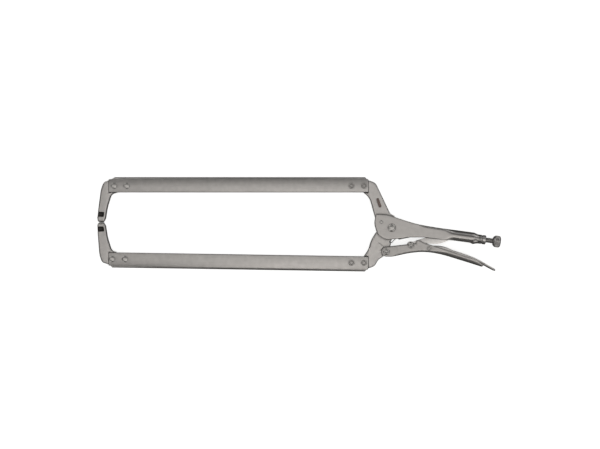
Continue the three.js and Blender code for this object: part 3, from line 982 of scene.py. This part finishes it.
lever_rows = []
x = LEVER_TOP[0][0]
while x < 155.8:
    top = height_at(LEVER_TOP, x)
    foot = height_at(LEVER_FOOT, x)
    tip_width = math.sqrt(max(1 - ease(x, 151, 156.4), 0))
    half = LEVER_HALF * (0.35 + 0.65 * tip_width)
    foot += (top - foot) * 0.4 * (1 - tip_width)
    curl = 0.55 * ease(x, 126, 140)
    section = cheek_section(top, foot, half, 1.7, 1.7)
    row = []
    for y, z in section:
        down = (top - y) / (top - foot)
        row.append(Vector((x, y, z * (1 - curl * down**3))))
    lever_rows.append(row)
    x += 1.2 if x < 150 else 0.4
release_lever = pressed("release_lever_pressing", lever_rows, LEVER_SHEET, 0.4)
print("release lever:", len(release_lever.data.polygons), "faces")

# %% [markdown]
# ## The toggle link
#
# A thick stamping joins the lower handle to the screw. Its edges are coined, so they get a bevel, and
# each end is a round eye joined to the bar.

# %% Toggle link
LINK_HALF = 3.3
LINK_REAR = Vector((90, -11.6))
LINK_EYE = 5.8
LINK_END = 3.8

toggle_link = plate(
    "toggle_link_stamping",
    [
        (LINK_PIVOT.x + 3, LINK_PIVOT.y + 5),
        (47, -15.9, 8),
        (70, -10.2, 10),
        (LINK_REAR.x - 1, LINK_REAR.y + LINK_END - 0.1),
        (LINK_REAR.x, LINK_REAR.y - LINK_END + 0.1),
        (82, -21, 5),
        (69, -24.6, 6),
        (50, -23.4, 8),
        (LINK_PIVOT.x + 2, LINK_PIVOT.y - 5.4),
    ],
    -LINK_HALF,
    LINK_HALF,
)
combine(toggle_link, round_bar(LINK_PIVOT.x, LINK_PIVOT.y, LINK_EYE, LINK_HALF), "UNION")
combine(toggle_link, round_bar(LINK_REAR.x, LINK_REAR.y, LINK_END, LINK_HALF), "UNION")
break_edges(toggle_link, 0.7, 3)
smooth(toggle_link)
print("toggle link:", len(toggle_link.data.polygons), "faces")

# %% [markdown]
# ## Rivets
#
# The front arm rivets have full domes. The rear ones were set with a hollow punch, so a ring stands
# round a dimple. The two handle rivets are semi-tubular: a steep collar, dark from above, round a
# bright centre. The jaw pivot is a wide flat head with a spun rim. Each kind is one half profile,
# written as shares of the head's radius and height, turned with both heads.

# %% Rivets
DOME = [(0.6, -0.2), (0.98, -0.1), (1, 0.1), (0.9, 0.42), (0.74, 0.68), (0.54, 0.86), (0.3, 0.96), (0, 1)]
DIMPLED = [
    (0.6, 0), (1, 0), (0.97, 0.5), (0.88, 0.8), (0.78, 0.84),
    (0.7, 0.7), (0.6, 0.1), (0.46, -0.34), (0.2, -0.5), (0, -0.54),
]
COLLARED = [
    (0.6, 0), (1.06, 0), (1, 0.22), (0.74, 1), (0.66, 1.04),
    (0.56, 0.92), (0.44, 0.66), (0.2, 0.56), (0, 0.54),
]
PIVOT_HEAD = [
    (0.6, 0), (1, 0), (0.98, 0.3), (0.86, 0.94), (0.8, 1.02),
    (0.74, 0.86), (0.66, 0.3), (0.6, 0.22), (0.5, 0.42), (0, 0.72),
]
FLUSH = [(0.6, 0), (1, 0), (0.9, 0.5), (0.5, 0.9), (0, 1)]
ARM_SEAT = ARM_WIDTH / 2
RIVETS = {
    "jaw_pivot_rivet": (PIVOT_HEAD, 6.1, 1.25, CHEEK_HALF, "jaw_pivot"),
    "handle_pivot_rivet": (COLLARED, 4.4, 1.5, EAR_HALF, "handle_pivot"),
    "link_pivot_rivet": (COLLARED, 4.4, 1.5, GRIP_HALF, "lower_handle"),
    "lever_pin": (DIMPLED, 3.4, 0.9, GRIP_HALF, "lower_handle"),
    "fixed_jaw_rivet": (FLUSH, 2.6, 0.7, CHEEK_HALF, "upper_handle"),
}
for arm, body in (("upper", "upper_handle"), ("lower", "moving_jaw")):
    for number in (1, 2):
        RIVETS[f"{arm}_front_rivet_{number}"] = (DOME, 4.6, 1.3, ARM_SEAT, body)
        RIVETS[f"{arm}_rear_rivet_{number}"] = (DIMPLED, 4.1, 1.5, ARM_SEAT, body)


def rivet(node):
    half_profile, radius, height, seat, body = RIVETS[node]
    upper = [(radius * r, seat + height * h) for r, h in half_profile]
    lower = [(r, -z) for r, z in reversed(upper)]
    piece = turned(f"{node}_turned", lower + upper)
    shift(piece, place_of(node))
    smooth(piece, 50)
    return piece


rivets = {node: rivet(node) for node in RIVETS}
print(len(rivets), "rivets")

# %% [markdown]
# ## Bush, screw and knob
#
# All three are turned on the screw's line, so they are made standing up on Z and then laid onto the
# tube's axis. The thread is one closed tooth swept along a helix by the Screw modifier and joined to
# a core. A bump map would be cheaper, but the thread shows in the outline of the bare neck.

# %% The screw's line
BUSH_START = TUBE_LENGTH + TAPER_LENGTH + GAP
BUSH_LENGTH = 11
NECK = 10.8
KNOB_START = BUSH_START + BUSH_LENGTH + NECK
KNOB_LENGTH = 11.8
SCREW_RADIUS = 3.97
SCREW_ROOT = 3.25
PITCH = 1.41
SCREW_START = 10.1
THREAD_START = 27
THREAD_TURNS = 29
SOCKET = SCREW_RADIUS + 0.3


def onto_tube(piece):
    """Lay a piece that stands on Z onto the tube's axis."""
    only(piece)
    piece.location = TUBE_START
    piece.rotation_euler = (0, math.pi / 2, TUBE_TILT)
    bpy.ops.object.transform_apply(location=True, rotation=True, scale=True)
    return piece


# %% Threaded bush
BUSH_RADIUS = 6.9
RING_GROOVE = BUSH_RADIUS - 0.35
WAIST = BUSH_RADIUS - 0.8
bush_profile = [(SOCKET, 0), (BUSH_RADIUS - 0.4, 0), (BUSH_RADIUS, 0.4)]
for ring in range(4):
    start = 0.9 + ring * 0.75
    groove = [(RING_GROOVE, start + 0.15), (RING_GROOVE, start + 0.35)]
    bush_profile += [(BUSH_RADIUS, start), *groove, (BUSH_RADIUS, start + 0.5)]
bush_profile += [(BUSH_RADIUS, 4.4), (WAIST, 4.7), (WAIST, 5.6), (BUSH_RADIUS, 5.9)]
bush_profile += [(BUSH_RADIUS, BUSH_LENGTH - 0.8), (WAIST, BUSH_LENGTH), (SOCKET, BUSH_LENGTH)]
bush = turned("threaded_bush_turned", [(r, BUSH_START + z) for r, z in bush_profile + bush_profile[:1]])
onto_tube(bush)
smooth(bush)
print("bush:", len(bush.data.polygons), "faces")

# %% Adjusting screw
screw = turned(
    "adjusting_screw_turned",
    [
        (0, SCREW_START),
        (SCREW_ROOT - 1, SCREW_START),
        (SCREW_ROOT, SCREW_START + 1),
        (SCREW_ROOT, KNOB_START + 4),
        (0, KNOB_START + 4),
    ],
    32,
)
bpy.ops.mesh.primitive_circle_add(vertices=4, fill_type="NOTHING")
tooth = named("tooth")
flank = [(SCREW_ROOT - 0.1, 0), (SCREW_RADIUS, 0.5), (SCREW_RADIUS, 0.7), (SCREW_ROOT - 0.1, 1.2)]
for vertex, (radius, height) in zip(tooth.data.vertices, flank):
    vertex.co = (radius, 0, THREAD_START + height)
turn = {"angle": math.tau, "screw_offset": PITCH, "axis": "Z", "steps": 24, "render_steps": 24}
modify(tooth, "SCREW", iterations=THREAD_TURNS, **turn)
edit(tooth)
bpy.ops.mesh.fill_holes(sides=4)
face_outwards()
bpy.ops.object.mode_set(mode="OBJECT")
only(screw)
tooth.select_set(True)
bpy.ops.object.join()
onto_tube(screw)
smooth(screw)
print("screw:", len(screw.data.polygons), "faces")

# %% [markdown]
# ## The knurl
#
# A knurling wheel rolls small pyramids into the knob. The band starts as a plain grid of faces. Each
# face is poked, the old grid lines are dissolved so that diamonds are left between the new centres,
# and the diamonds are poked again with a small height.

# %% Adjusting knob
KNOB_RADIUS = 8.9
KNURL_AROUND = 44
KNURL_ROWS = 8
KNURL_HEIGHT = 0.28
SOCKET_DEPTH = 4.3
band_start = 3.0
band_end = KNOB_LENGTH - 2.6
row_height = (band_end - band_start) / KNURL_ROWS
band = [(KNOB_RADIUS - 0.3, band_start + row_height * i) for i in range(KNURL_ROWS + 1)]
knob_profile = [
    (0, SOCKET_DEPTH),
    (SOCKET, SOCKET_DEPTH),
    (SOCKET, 0),
    (KNOB_RADIUS - 3.4, 0),
    (KNOB_RADIUS - 2.6, 0.5),
    (KNOB_RADIUS - 0.9, 2.2),
    *band,
    (KNOB_RADIUS - 0.5, band_end + 0.7),
    (KNOB_RADIUS - 1.6, KNOB_LENGTH - 0.7),
    (KNOB_RADIUS - 3, KNOB_LENGTH - 0.1),
    (KNOB_RADIUS - 4, KNOB_LENGTH),
    (0, KNOB_LENGTH),
]
knob = turned("adjusting_knob_turned", [(r, KNOB_START + z) for r, z in knob_profile], KNURL_AROUND)


def in_band(point, margin):
    height = point.z - KNOB_START
    radius = math.hypot(point.x, point.y)
    return radius > KNOB_RADIUS - 0.8 and band_start - margin < height < band_end + margin


edit(knob)
pick("faces", lambda face: in_band(face.calc_center_median(), 0))
old_corners = {tuple(round(c, 3) for c in v.co)
               for v in bmesh.from_edit_mesh(knob.data).verts if in_band(v.co, 0.01)}
bpy.ops.mesh.poke()


def is_old(vertex):
    return tuple(round(c, 3) for c in vertex.co) in old_corners


def inside_band(vertex):
    return in_band(vertex.co, -0.05)


pick("edges", lambda edge: all(is_old(v) for v in edge.verts) and any(inside_band(v) for v in edge.verts))
bpy.ops.mesh.dissolve_edges(use_verts=False)
pick("faces", lambda face: len(face.verts) == 4 and in_band(face.calc_center_median(), -0.2)
     and sum(is_old(v) for v in face.verts) == 2)
bpy.ops.mesh.poke(offset=KNURL_HEIGHT, use_relative_offset=False)
bpy.ops.object.mode_set(mode="OBJECT")
onto_tube(knob)
smooth(knob, 22)
print("knob:", len(knob.data.polygons), "faces")

# %% [markdown]
# ## The return spring
#
# A close-wound wire with a hook at each end pulls the moving jaw open. It is a wire along a path: an
# eye through the jaw's lug, a straight lead, the coil, and a lead to the pin between the cheeks. The
# path is a curve with a round bevel, turned into a mesh.

# %% Spring
WIRE = 0.55
COIL_RADIUS = 2.9
COIL_TURNS = 33
STEPS_PER_TURN = 14
EYE = 2.2
COIL_START = Vector((9.5, -14.9, 0))
COIL_END = Vector((49.5, -6.8, 0))
coil_along = (COIL_END - COIL_START).normalized()
coil_side = Vector((-coil_along.y, coil_along.x, 0))
eye_centre = Vector((LUG[0] + 2.1, LUG[1] + 0.7, 0))

path = []
for step in range(15):
    angle = math.radians(60 + 285 * step / 14)
    path.append(eye_centre + Vector((EYE * math.cos(angle), EYE * math.sin(angle), 0.3 - 0.6 * step / 14)))
path.append(COIL_START - coil_along * 3.5 - coil_side * 0.8)
count = COIL_TURNS * STEPS_PER_TURN
for step in range(count + 1):
    angle = math.tau * step / STEPS_PER_TURN - math.pi / 2
    reach = COIL_RADIUS * min(1, 0.4 + step / STEPS_PER_TURN, 0.4 + (count - step) / STEPS_PER_TURN)
    along_coil = COIL_START.lerp(COIL_END, step / count)
    path.append(along_coil + coil_side * reach * math.sin(angle) + Vector((0, 0, reach * math.cos(angle))))
pin = Vector((SPRING_PIN.x, SPRING_PIN.y, 0))
for step in range(10):
    angle = math.radians(200 - 250 * step / 9)
    path.append(pin + Vector((2.2 * math.cos(angle), 2.2 * math.sin(angle), 0)))

wire = bpy.data.curves.new("return_spring_wire", "CURVE")
wire.dimensions = "3D"
wire.bevel_depth = WIRE
wire.bevel_resolution = 2
wire.use_fill_caps = True
spline = wire.splines.new("POLY")
spline.points.add(len(path) - 1)
for point, place in zip(spline.points, path):
    point.co = (*place, 1)
spring = bpy.data.objects.new("return_spring_wire", wire)
bpy.context.scene.collection.objects.link(spring)
only(spring)
bpy.ops.object.convert(target="MESH")
smooth(spring, 60)

spring_pin = round_bar(SPRING_PIN.x, SPRING_PIN.y, 1.6, CHEEK_HALF - CHEEK_SHEET)
spring_pin.name = spring_pin.data.name = "spring_pin_turned"
break_edges(spring_pin, 0.3, 2)
smooth(spring_pin)
print("spring:", len(spring.data.polygons), "faces")

# %% [markdown]
# ## Finishes
#
# All the steel is nickel plated, and what differs is what the plate lies on: blasted forgings, sheet
# brushed in one direction, and turned or knurled steel. So every material is made from the same few
# effects, each a node group with its own inputs: grain, forged skin, wear on edges, painted shade in
# corners and gaps, and fine scratches. The shader itself stays in each material.

# %% Building node groups
def node_group(name, inputs, outputs):
    group = bpy.data.node_groups.new(name, "ShaderNodeTree")
    for label, kind, default in inputs:
        socket = group.interface.new_socket(label, in_out="INPUT", socket_type=kind)
        if default is not None:
            socket.default_value = default
    for label, kind in outputs:
        group.interface.new_socket(label, in_out="OUTPUT", socket_type=kind)
    return group, group.nodes.new("NodeGroupInput"), group.nodes.new("NodeGroupOutput")


def node(tree, kind, **settings):
    made = tree.nodes.new(kind)
    for setting, value in settings.items():
        setattr(made, setting, value)
    return made


def sum_up(tree, operation, a, b, clamp=False):
    """A Math node of two values, each a number or a socket."""
    made = node(tree, "ShaderNodeMath", operation=operation, use_clamp=clamp)
    for socket, value in zip(made.inputs, (a, b)):
        if isinstance(value, (int, float)):
            socket.default_value = value
        else:
            tree.links.new(value, socket)
    return made.outputs[0]


VECTOR = "NodeSocketVector"
FLOAT = "NodeSocketFloat"

# %% [markdown]
# **Brushed grain.** Abrasive belts leave long, thin lines. Noise is stretched along the brushing: the
# Mapping node of type Texture turns the place first and then divides it by the size of a line.

# %% Brushed grain
grain_group, inlet, outlet = node_group(
    "brushed_grain",
    [("Vector", VECTOR, None), ("Line Size", VECTOR, (0.03, 0.0004, 0.0004)), ("Turn", VECTOR, (0, 0, 0))],
    [("Grain", FLOAT)],
)
mapping = node(grain_group, "ShaderNodeMapping", vector_type="TEXTURE")
grain_group.links.new(inlet.outputs["Vector"], mapping.inputs["Vector"])
grain_group.links.new(inlet.outputs["Line Size"], mapping.inputs["Scale"])
grain_group.links.new(inlet.outputs["Turn"], mapping.inputs["Rotation"])
layers = []
for scale, detail in ((1, 3), (0.31, 2)):
    noise = node(grain_group, "ShaderNodeTexNoise")
    noise.inputs["Scale"].default_value = scale
    noise.inputs["Detail"].default_value = detail
    noise.inputs["Roughness"].default_value = 0.65
    grain_group.links.new(mapping.outputs[0], noise.inputs["Vector"])
    layers.append(noise.outputs[0])
both = sum_up(grain_group, "ADD", *layers)
grain_group.links.new(sum_up(grain_group, "MULTIPLY", both, 0.5), outlet.inputs["Grain"])

# %% [markdown]
# **Forged skin.** Scale and shot leave a forging covered in shallow dents of a few tenths of a
# millimetre, with larger soft patches that were cleaned more or less.

# %% Forged skin
skin_group, inlet, outlet = node_group(
    "forged_skin",
    [("Vector", VECTOR, None), ("Dent Size", FLOAT, 0.0006)],
    [("Height", FLOAT), ("Patches", FLOAT)],
)
scaled = node(skin_group, "ShaderNodeVectorMath", operation="SCALE")
skin_group.links.new(inlet.outputs["Vector"], scaled.inputs[0])
skin_group.links.new(sum_up(skin_group, "DIVIDE", 1.0, inlet.outputs["Dent Size"]), scaled.inputs["Scale"])
dents = node(skin_group, "ShaderNodeTexNoise")
dents.inputs["Scale"].default_value = 1
dents.inputs["Detail"].default_value = 4
dents.inputs["Roughness"].default_value = 0.6
patches = node(skin_group, "ShaderNodeTexNoise")
patches.inputs["Scale"].default_value = 0.09
patches.inputs["Detail"].default_value = 5
for texture in (dents, patches):
    skin_group.links.new(scaled.outputs[0], texture.inputs["Vector"])
skin_group.links.new(dents.outputs[0], outlet.inputs["Height"])
skin_group.links.new(patches.outputs[0], outlet.inputs["Patches"])

# %% [markdown]
# **Edge wear.** Plating thins on corners and shines there. The Bevel node gives the normal that a
# rounded corner would have, and where it differs from the true normal there is an edge.

# %% Edge wear
wear_group, inlet, outlet = node_group(
    "edge_wear",
    [("Vector", VECTOR, None), ("Radius", FLOAT, 0.0006), ("Amount", FLOAT, 1.0)],
    [("Wear", FLOAT)],
)
bevel = node(wear_group, "ShaderNodeBevel", samples=4)
wear_group.links.new(inlet.outputs["Radius"], bevel.inputs["Radius"])
geometry = node(wear_group, "ShaderNodeNewGeometry")
turned_by = node(wear_group, "ShaderNodeVectorMath", operation="DOT_PRODUCT")
wear_group.links.new(bevel.outputs[0], turned_by.inputs[0])
wear_group.links.new(geometry.outputs["Normal"], turned_by.inputs[1])
edge = sum_up(wear_group, "SUBTRACT", 1.0, turned_by.outputs["Value"])
breaks = node(wear_group, "ShaderNodeTexNoise")
breaks.inputs["Scale"].default_value = 260
breaks.inputs["Detail"].default_value = 3
wear_group.links.new(inlet.outputs["Vector"], breaks.inputs["Vector"])
uneven = sum_up(wear_group, "MULTIPLY", edge, sum_up(wear_group, "MULTIPLY", breaks.outputs[0], 9.0))
wear_group.links.new(
    sum_up(wear_group, "MULTIPLY", uneven, inlet.outputs["Amount"], clamp=True), outlet.inputs["Wear"]
)

# %% [markdown]
# ** Painted shade.** Corners and gaps are darkened in the colour, where shade would fall. The Ambient
# Occlusion node finds how closed in a place is, and some noise breaks the painted shade up.

# %% Painted shade in corners and gaps
painted_shade_group, inlet, outlet = node_group(
    "grime",
    [("Vector", VECTOR, None), ("Reach", FLOAT, 0.003), ("Amount", FLOAT, 1.0)],
    [("Grime", FLOAT)],
)
closed_in = node(painted_shade_group, "ShaderNodeAmbientOcclusion", samples=6)
painted_shade_group.links.new(inlet.outputs["Reach"], closed_in.inputs["Distance"])
open_share = sum_up(painted_shade_group, "SUBTRACT", 1.0, closed_in.outputs["AO"])
shade_breakup = node(painted_shade_group, "ShaderNodeTexNoise")
shade_breakup.inputs["Scale"].default_value = 180
shade_breakup.inputs["Detail"].default_value = 4
painted_shade_group.links.new(inlet.outputs["Vector"], shade_breakup.inputs["Vector"])
strength = sum_up(painted_shade_group, "ADD", sum_up(painted_shade_group, "MULTIPLY", shade_breakup.outputs[0], 0.8), 0.6)
# Painted shade: the more closed in a place is, the darker its colour is made.
shade_mask = sum_up(painted_shade_group, "MULTIPLY", open_share, strength)
painted_shade_group.links.new(
    sum_up(painted_shade_group, "MULTIPLY", shade_mask, inlet.outputs["Amount"], clamp=True), outlet.inputs["Grime"]
)

# %% [markdown]
# **Scratches.** Handling leaves a few hairlines in odd directions. Voronoi cells stretched to thin
# slivers, taken only where the cell's own random value is high, give lines that start and stop.

# %% Scratches
scratch_group, inlet, outlet = node_group(
    "scratches",
    [("Vector", VECTOR, None), ("Turn", VECTOR, (0, 0, 0.6)), ("Share", FLOAT, 0.12)],
    [("Scratches", FLOAT)],
)
lines = None
for extra_turn in (0.0, 1.3):
    turn = node(scratch_group, "ShaderNodeVectorMath", operation="ADD")
    turn.inputs[1].default_value = (0, 0, extra_turn)
    scratch_group.links.new(inlet.outputs["Turn"], turn.inputs[0])
    mapping = node(scratch_group, "ShaderNodeMapping", vector_type="TEXTURE")
    mapping.inputs["Scale"].default_value = (0.014, 0.0005, 0.004)
    scratch_group.links.new(inlet.outputs["Vector"], mapping.inputs["Vector"])
    scratch_group.links.new(turn.outputs[0], mapping.inputs["Rotation"])
    cells = node(scratch_group, "ShaderNodeTexVoronoi")
    cells.inputs["Scale"].default_value = 1
    scratch_group.links.new(mapping.outputs[0], cells.inputs["Vector"])
    chosen = sum_up(scratch_group, "LESS_THAN", cells.outputs["Color"], inlet.outputs["Share"])
    near = sum_up(scratch_group, "LESS_THAN", cells.outputs["Distance"], 0.16)
    line = sum_up(scratch_group, "MULTIPLY", chosen, near)
    lines = line if lines is None else sum_up(scratch_group, "MAXIMUM", lines, line)
scratch_group.links.new(lines, outlet.inputs["Scratches"])

# %% [markdown]
# ## Steel
#
# One function wires the groups to a Principled shader. What is the same all over, such as Metallic,
# is set on the shader's own socket. Colour goes from the plate, over the dull patches and the worn
# edges, to the painted shade in corners and gaps, which is darker and rougher.

# %% Steel materials
def group_node(tree, group, place, **values):
    made = node(tree, "ShaderNodeGroup", node_tree=group)
    tree.links.new(place, made.inputs["Vector"])
    for label, value in values.items():
        made.inputs[label.replace("_", " ")].default_value = value
    return made.outputs


def mixed(tree, share, first, second):
    """A colour mix; share and first may be sockets."""
    made = node(tree, "ShaderNodeMix", data_type="RGBA")
    tree.links.new(share, made.inputs["Factor"])
    for socket, value in ((made.inputs["A"], first), (made.inputs["B"], second)):
        if isinstance(value, tuple):
            socket.default_value = (*value, 1)
        else:
            tree.links.new(value, socket)
    return made.outputs["Result"]


def steel(name, colour, roughness, line_size, turn, grain, dents, patchy=0.25, wear=1.0):
    """Nickel plated steel. grain and dents are bump heights in millimetres."""
    material = bpy.data.materials.new(name)
    material.use_nodes = True
    tree = material.node_tree
    shader = tree.nodes["Principled BSDF"]
    shader.inputs["Metallic"].default_value = 1.0
    place = node(tree, "ShaderNodeTexCoord").outputs["Object"]
    lines = group_node(tree, grain_group, place, Line_Size=line_size, Turn=(0, 0, turn))["Grain"]
    skin = group_node(tree, skin_group, place, Dent_Size=0.0006)
    worn = group_node(tree, wear_group, place, Radius=0.0007, Amount=wear)["Wear"]
    shade_mask = group_node(tree, painted_shade_group, place, Reach=0.0035, Amount=1.0)["Grime"]
    hairlines = group_node(tree, scratch_group, place, Turn=(0, 0, turn + 0.5))["Scratches"]

    dull = tuple(channel * (1 - patchy) for channel in colour)
    bright = tuple(min(channel * 1.25, 0.9) for channel in colour)
    patches = sum_up(tree, "MULTIPLY", sum_up(tree, "SUBTRACT", skin["Patches"], 0.3), 2.2, clamp=True)
    streaks = sum_up(tree, "MULTIPLY", sum_up(tree, "SUBTRACT", lines, 0.32), 2.6, clamp=True)
    tone = sum_up(tree, "MULTIPLY", sum_up(tree, "ADD", patches, streaks), 0.5)
    plated = mixed(tree, tone, dull, colour)
    marked = mixed(tree, sum_up(tree, "MULTIPLY", hairlines, 0.35), plated, bright)
    polished = mixed(tree, sum_up(tree, "MULTIPLY", worn, 0.6), marked, bright)
    # Painted shade: closed-in corners and gaps are mixed towards near black in the colour.
    tree.links.new(mixed(tree, shade_mask, polished, (0.045, 0.04, 0.035)), shader.inputs["Base Color"])

    rough = sum_up(tree, "ADD", sum_up(tree, "MULTIPLY", lines, 0.14), roughness - 0.07)
    rough = sum_up(tree, "SUBTRACT", rough, sum_up(tree, "MULTIPLY", worn, 0.08))
    rough = sum_up(tree, "ADD", rough, sum_up(tree, "MULTIPLY", shade_mask, 0.3), clamp=True)
    tree.links.new(rough, shader.inputs["Roughness"])

    hammered = sum_up(tree, "MULTIPLY", skin["Height"], dents)
    relief = sum_up(tree, "ADD", sum_up(tree, "MULTIPLY", lines, grain), hammered)
    relief = sum_up(tree, "SUBTRACT", relief, sum_up(tree, "MULTIPLY", hairlines, 0.006))
    bump = node(tree, "ShaderNodeBump")
    bump.inputs["Distance"].default_value = MM
    bump.inputs["Strength"].default_value = 1.0
    tree.links.new(relief, bump.inputs["Height"])
    tree.links.new(bump.outputs[0], shader.inputs["Normal"])
    return material


LINES = (0.030, 0.00035, 0.00035)
SHORT_LINES = (0.012, 0.00045, 0.0006)
TURNED_LINES = (0.0004, 0.01, 0.01)
arm_steel = steel("arm_steel", (0.57, 0.55, 0.53), 0.40, LINES, 0, 0.010, 0.002)
forged_steel = steel(
    "forged_steel", (0.61, 0.588, 0.567), 0.43, SHORT_LINES, 1.2, 0.010, 0.05, patchy=0.22
)
# Near-black finish of the tips: dark scale with painted shade in the hollows, painted shade on the pad
# faces along their gap.
dark_scale = steel(
    "dark_scale", (0.10, 0.094, 0.09), 0.6, SHORT_LINES, 0, 0.10, 0.10, patchy=0.5, wear=0.2
)
stamp_stain = steel(
    "stamp_stain", (0.27, 0.215, 0.195), 0.55, SHORT_LINES, 0, 0.05, 0.10, patchy=0.4, wear=0.3
)
handle_steel = steel(
    "handle_steel", (0.475, 0.457, 0.44), 0.32, SHORT_LINES, -0.12, 0.006, 0.004, patchy=0.18
)
grip_steel = steel(
    "grip_steel", (0.49, 0.472, 0.455), 0.39, SHORT_LINES, 0.35, 0.010, 0.004, patchy=0.25
)
turned_steel = steel("turned_steel", (0.60, 0.583, 0.567), 0.35, TURNED_LINES, TUBE_TILT, 0.006, 0.002)
rivet_steel = steel("rivet_steel", (0.52, 0.505, 0.485), 0.30, SHORT_LINES, 0.8, 0.003, 0.01)
# Link and lever get a lighter plate colour than the rest of the steel, a painted highlight.
link_steel = steel("link_steel", (0.70, 0.68, 0.66), 0.36, SHORT_LINES, 0.2, 0.006, 0.006)
spring_wire = steel("spring_wire", (0.10, 0.095, 0.09), 0.34, SHORT_LINES, 0.2, 0.002, 0.004)
print(len(bpy.data.materials), "materials")

# %% [markdown]
# ## Putting the clamp together
#
# Each finished mesh is scaled from millimetres to metres and moved to the pivot, so that its object
# sits at the origin. Then it gets its finish, stands for its node and rides on that node's body.

# %% Assembly
def fit(piece, node_name, body, material, second=None):
    only(piece)
    piece.scale = (MM, MM, MM)
    piece.location = PIVOT
    bpy.ops.object.transform_apply(location=True, rotation=True, scale=True)
    piece.data.materials.append(material)
    if second:
        piece.data.materials.append(second)
    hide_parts(node_name)
    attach(piece, body)


fit(upper_channel, "upper_arm", "upper_handle", arm_steel)
fit(lower_channel, "lower_arm", "moving_jaw", arm_steel)
fit(fixed_jaw, "fixed_jaw", "upper_handle", forged_steel, stamp_stain)
fit(moving_jaw, "moving_jaw", "moving_jaw", forged_steel)
fit(upper_tip, "upper_tip", "upper_handle", forged_steel, dark_scale)
fit(lower_tip, "lower_tip", "moving_jaw", forged_steel, dark_scale)
fit(upper_handle, "upper_handle", "upper_handle", handle_steel)
fit(lower_handle, "lower_handle", "lower_handle", grip_steel)
fit(release_lever, "release_lever", "release_lever", link_steel)
fit(toggle_link, "toggle_link", "toggle_link", link_steel)
fit(bush, "threaded_bush", "upper_handle", turned_steel)
fit(screw, "adjusting_screw", "adjusting_screw", turned_steel)
fit(knob, "adjusting_knob", "adjusting_knob", turned_steel)
fit(spring, "return_spring", "upper_handle", spring_wire)
fit(spring_pin, "spring_pin", "upper_handle", spring_wire)
for rivet_node, piece in rivets.items():
    fit(piece, rivet_node, RIVETS[rivet_node][4], rivet_steel)

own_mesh(spring)
print("assembled")

# %% [markdown]
# ## Camera, floor and light
#
# The camera looks straight down on the clamp, from far enough that the two arms look parallel. A
# large soft light overhead lights the flat faces, and a long strip to the lower side draws the
# highlight along the tube. The rest of the studio is dim, so that rounded edges fall off to dark and
# the outline reads against the white floor. Four cards low in the corners give the flat faces
# something bright to mirror when the clamp is seen from a low angle, and hardly show from above. The
# floor and the backdrop are white only for what the camera sees directly; the steel mirrors them as a
# grey room.

# %% Camera
CAMERA_HEIGHT = 3.0
FRAME_WIDTH = 0.9
bpy.ops.object.camera_add(location=(0.001, -0.0002, CAMERA_HEIGHT + 0.012), rotation=(0, 0, 0))
camera = bpy.context.object
camera.data.sensor_width = 36
camera.data.lens = 36 * CAMERA_HEIGHT / FRAME_WIDTH
camera.data.clip_end = 50
bpy.context.scene.camera = camera

# %% Floor
bpy.ops.mesh.primitive_plane_add(size=16)
floor = bpy.context.object
floor.name = "floor"
paper = bpy.data.materials.new("paper")
paper.use_nodes = True
tree = paper.node_tree
surface = tree.nodes["Principled BSDF"]
surface.inputs["Base Color"].default_value = (0.85, 0.85, 0.845, 1)
surface.inputs["Roughness"].default_value = 0.9
surface.inputs["Emission Color"].default_value = (1, 1, 0.995, 1)
surface.inputs["Emission Strength"].default_value = 0.76
grey = node(tree, "ShaderNodeBsdfDiffuse")
grey.inputs["Color"].default_value = (0.10, 0.10, 0.10, 1)
ray = node(tree, "ShaderNodeLightPath")
blend = node(tree, "ShaderNodeMixShader")
tree.links.new(ray.outputs["Is Camera Ray"], blend.inputs[0])
tree.links.new(grey.outputs[0], blend.inputs[1])
tree.links.new(surface.outputs[0], blend.inputs[2])
tree.links.new(blend.outputs[0], tree.nodes["Material Output"].inputs["Surface"])
floor.data.materials.append(paper)


# %% Lights
def soft_light(name, place, aim, width, depth, power, colour=(1, 1, 1)):
    bpy.ops.object.light_add(type="AREA", location=place)
    lamp = bpy.context.object
    lamp.name = name
    lamp.data.shape = "RECTANGLE"
    lamp.data.size = width
    lamp.data.size_y = depth
    lamp.data.energy = power
    lamp.data.color = colour
    lamp.rotation_euler = (Vector(aim) - Vector(place)).to_track_quat("-Z", "Y").to_euler()
    lamp.visible_camera = False
    return lamp


CORNER_POWER = 9
soft_light("overhead", (0, 0, 2.1), (0, 0, 0), 4.4, 1.25, 15.4, (1, 0.985, 0.965))
soft_light("strip", (0.3, -0.78, 1.85), (0.2, 0, 0), 1.6, 0.4, 4.2, (1, 0.975, 0.945))
soft_light("fill", (0, 1.9, 1.3), (0, 0, 0), 3, 0.8, 3.4, (0.98, 0.99, 1))
soft_light("side", (1.7, 0, 1.0), (0, 0, 0), 0.5, 1.4, 1.4, (0.98, 0.99, 1))
for number, (x, y) in enumerate(((1.7, 1.7), (-1.7, 1.7), (-1.7, -1.7), (1.7, -1.7)), start=1):
    soft_light(f"corner_{number}", (x, y, 0.75), (0, 0, 0), 2.0, 1.1, CORNER_POWER, (1, 0.99, 0.98))

world = bpy.data.worlds.new("studio")
bpy.context.scene.world = world
world.use_nodes = True
tree = world.node_tree
room = tree.nodes["Background"]
room.inputs["Color"].default_value = (0.9, 0.92, 0.94, 1)
room.inputs["Strength"].default_value = 0.06
backdrop = node(tree, "ShaderNodeBackground")
backdrop.inputs["Color"].default_value = (1, 1, 1, 1)
ray = node(tree, "ShaderNodeLightPath")
blend = node(tree, "ShaderNodeMixShader")
tree.links.new(ray.outputs["Is Camera Ray"], blend.inputs[0])
tree.links.new(room.outputs[0], blend.inputs[1])
tree.links.new(backdrop.outputs[0], blend.inputs[2])
tree.links.new(blend.outputs[0], tree.nodes["World Output"].inputs["Surface"])
bpy.context.scene.view_settings.view_transform = "Standard"
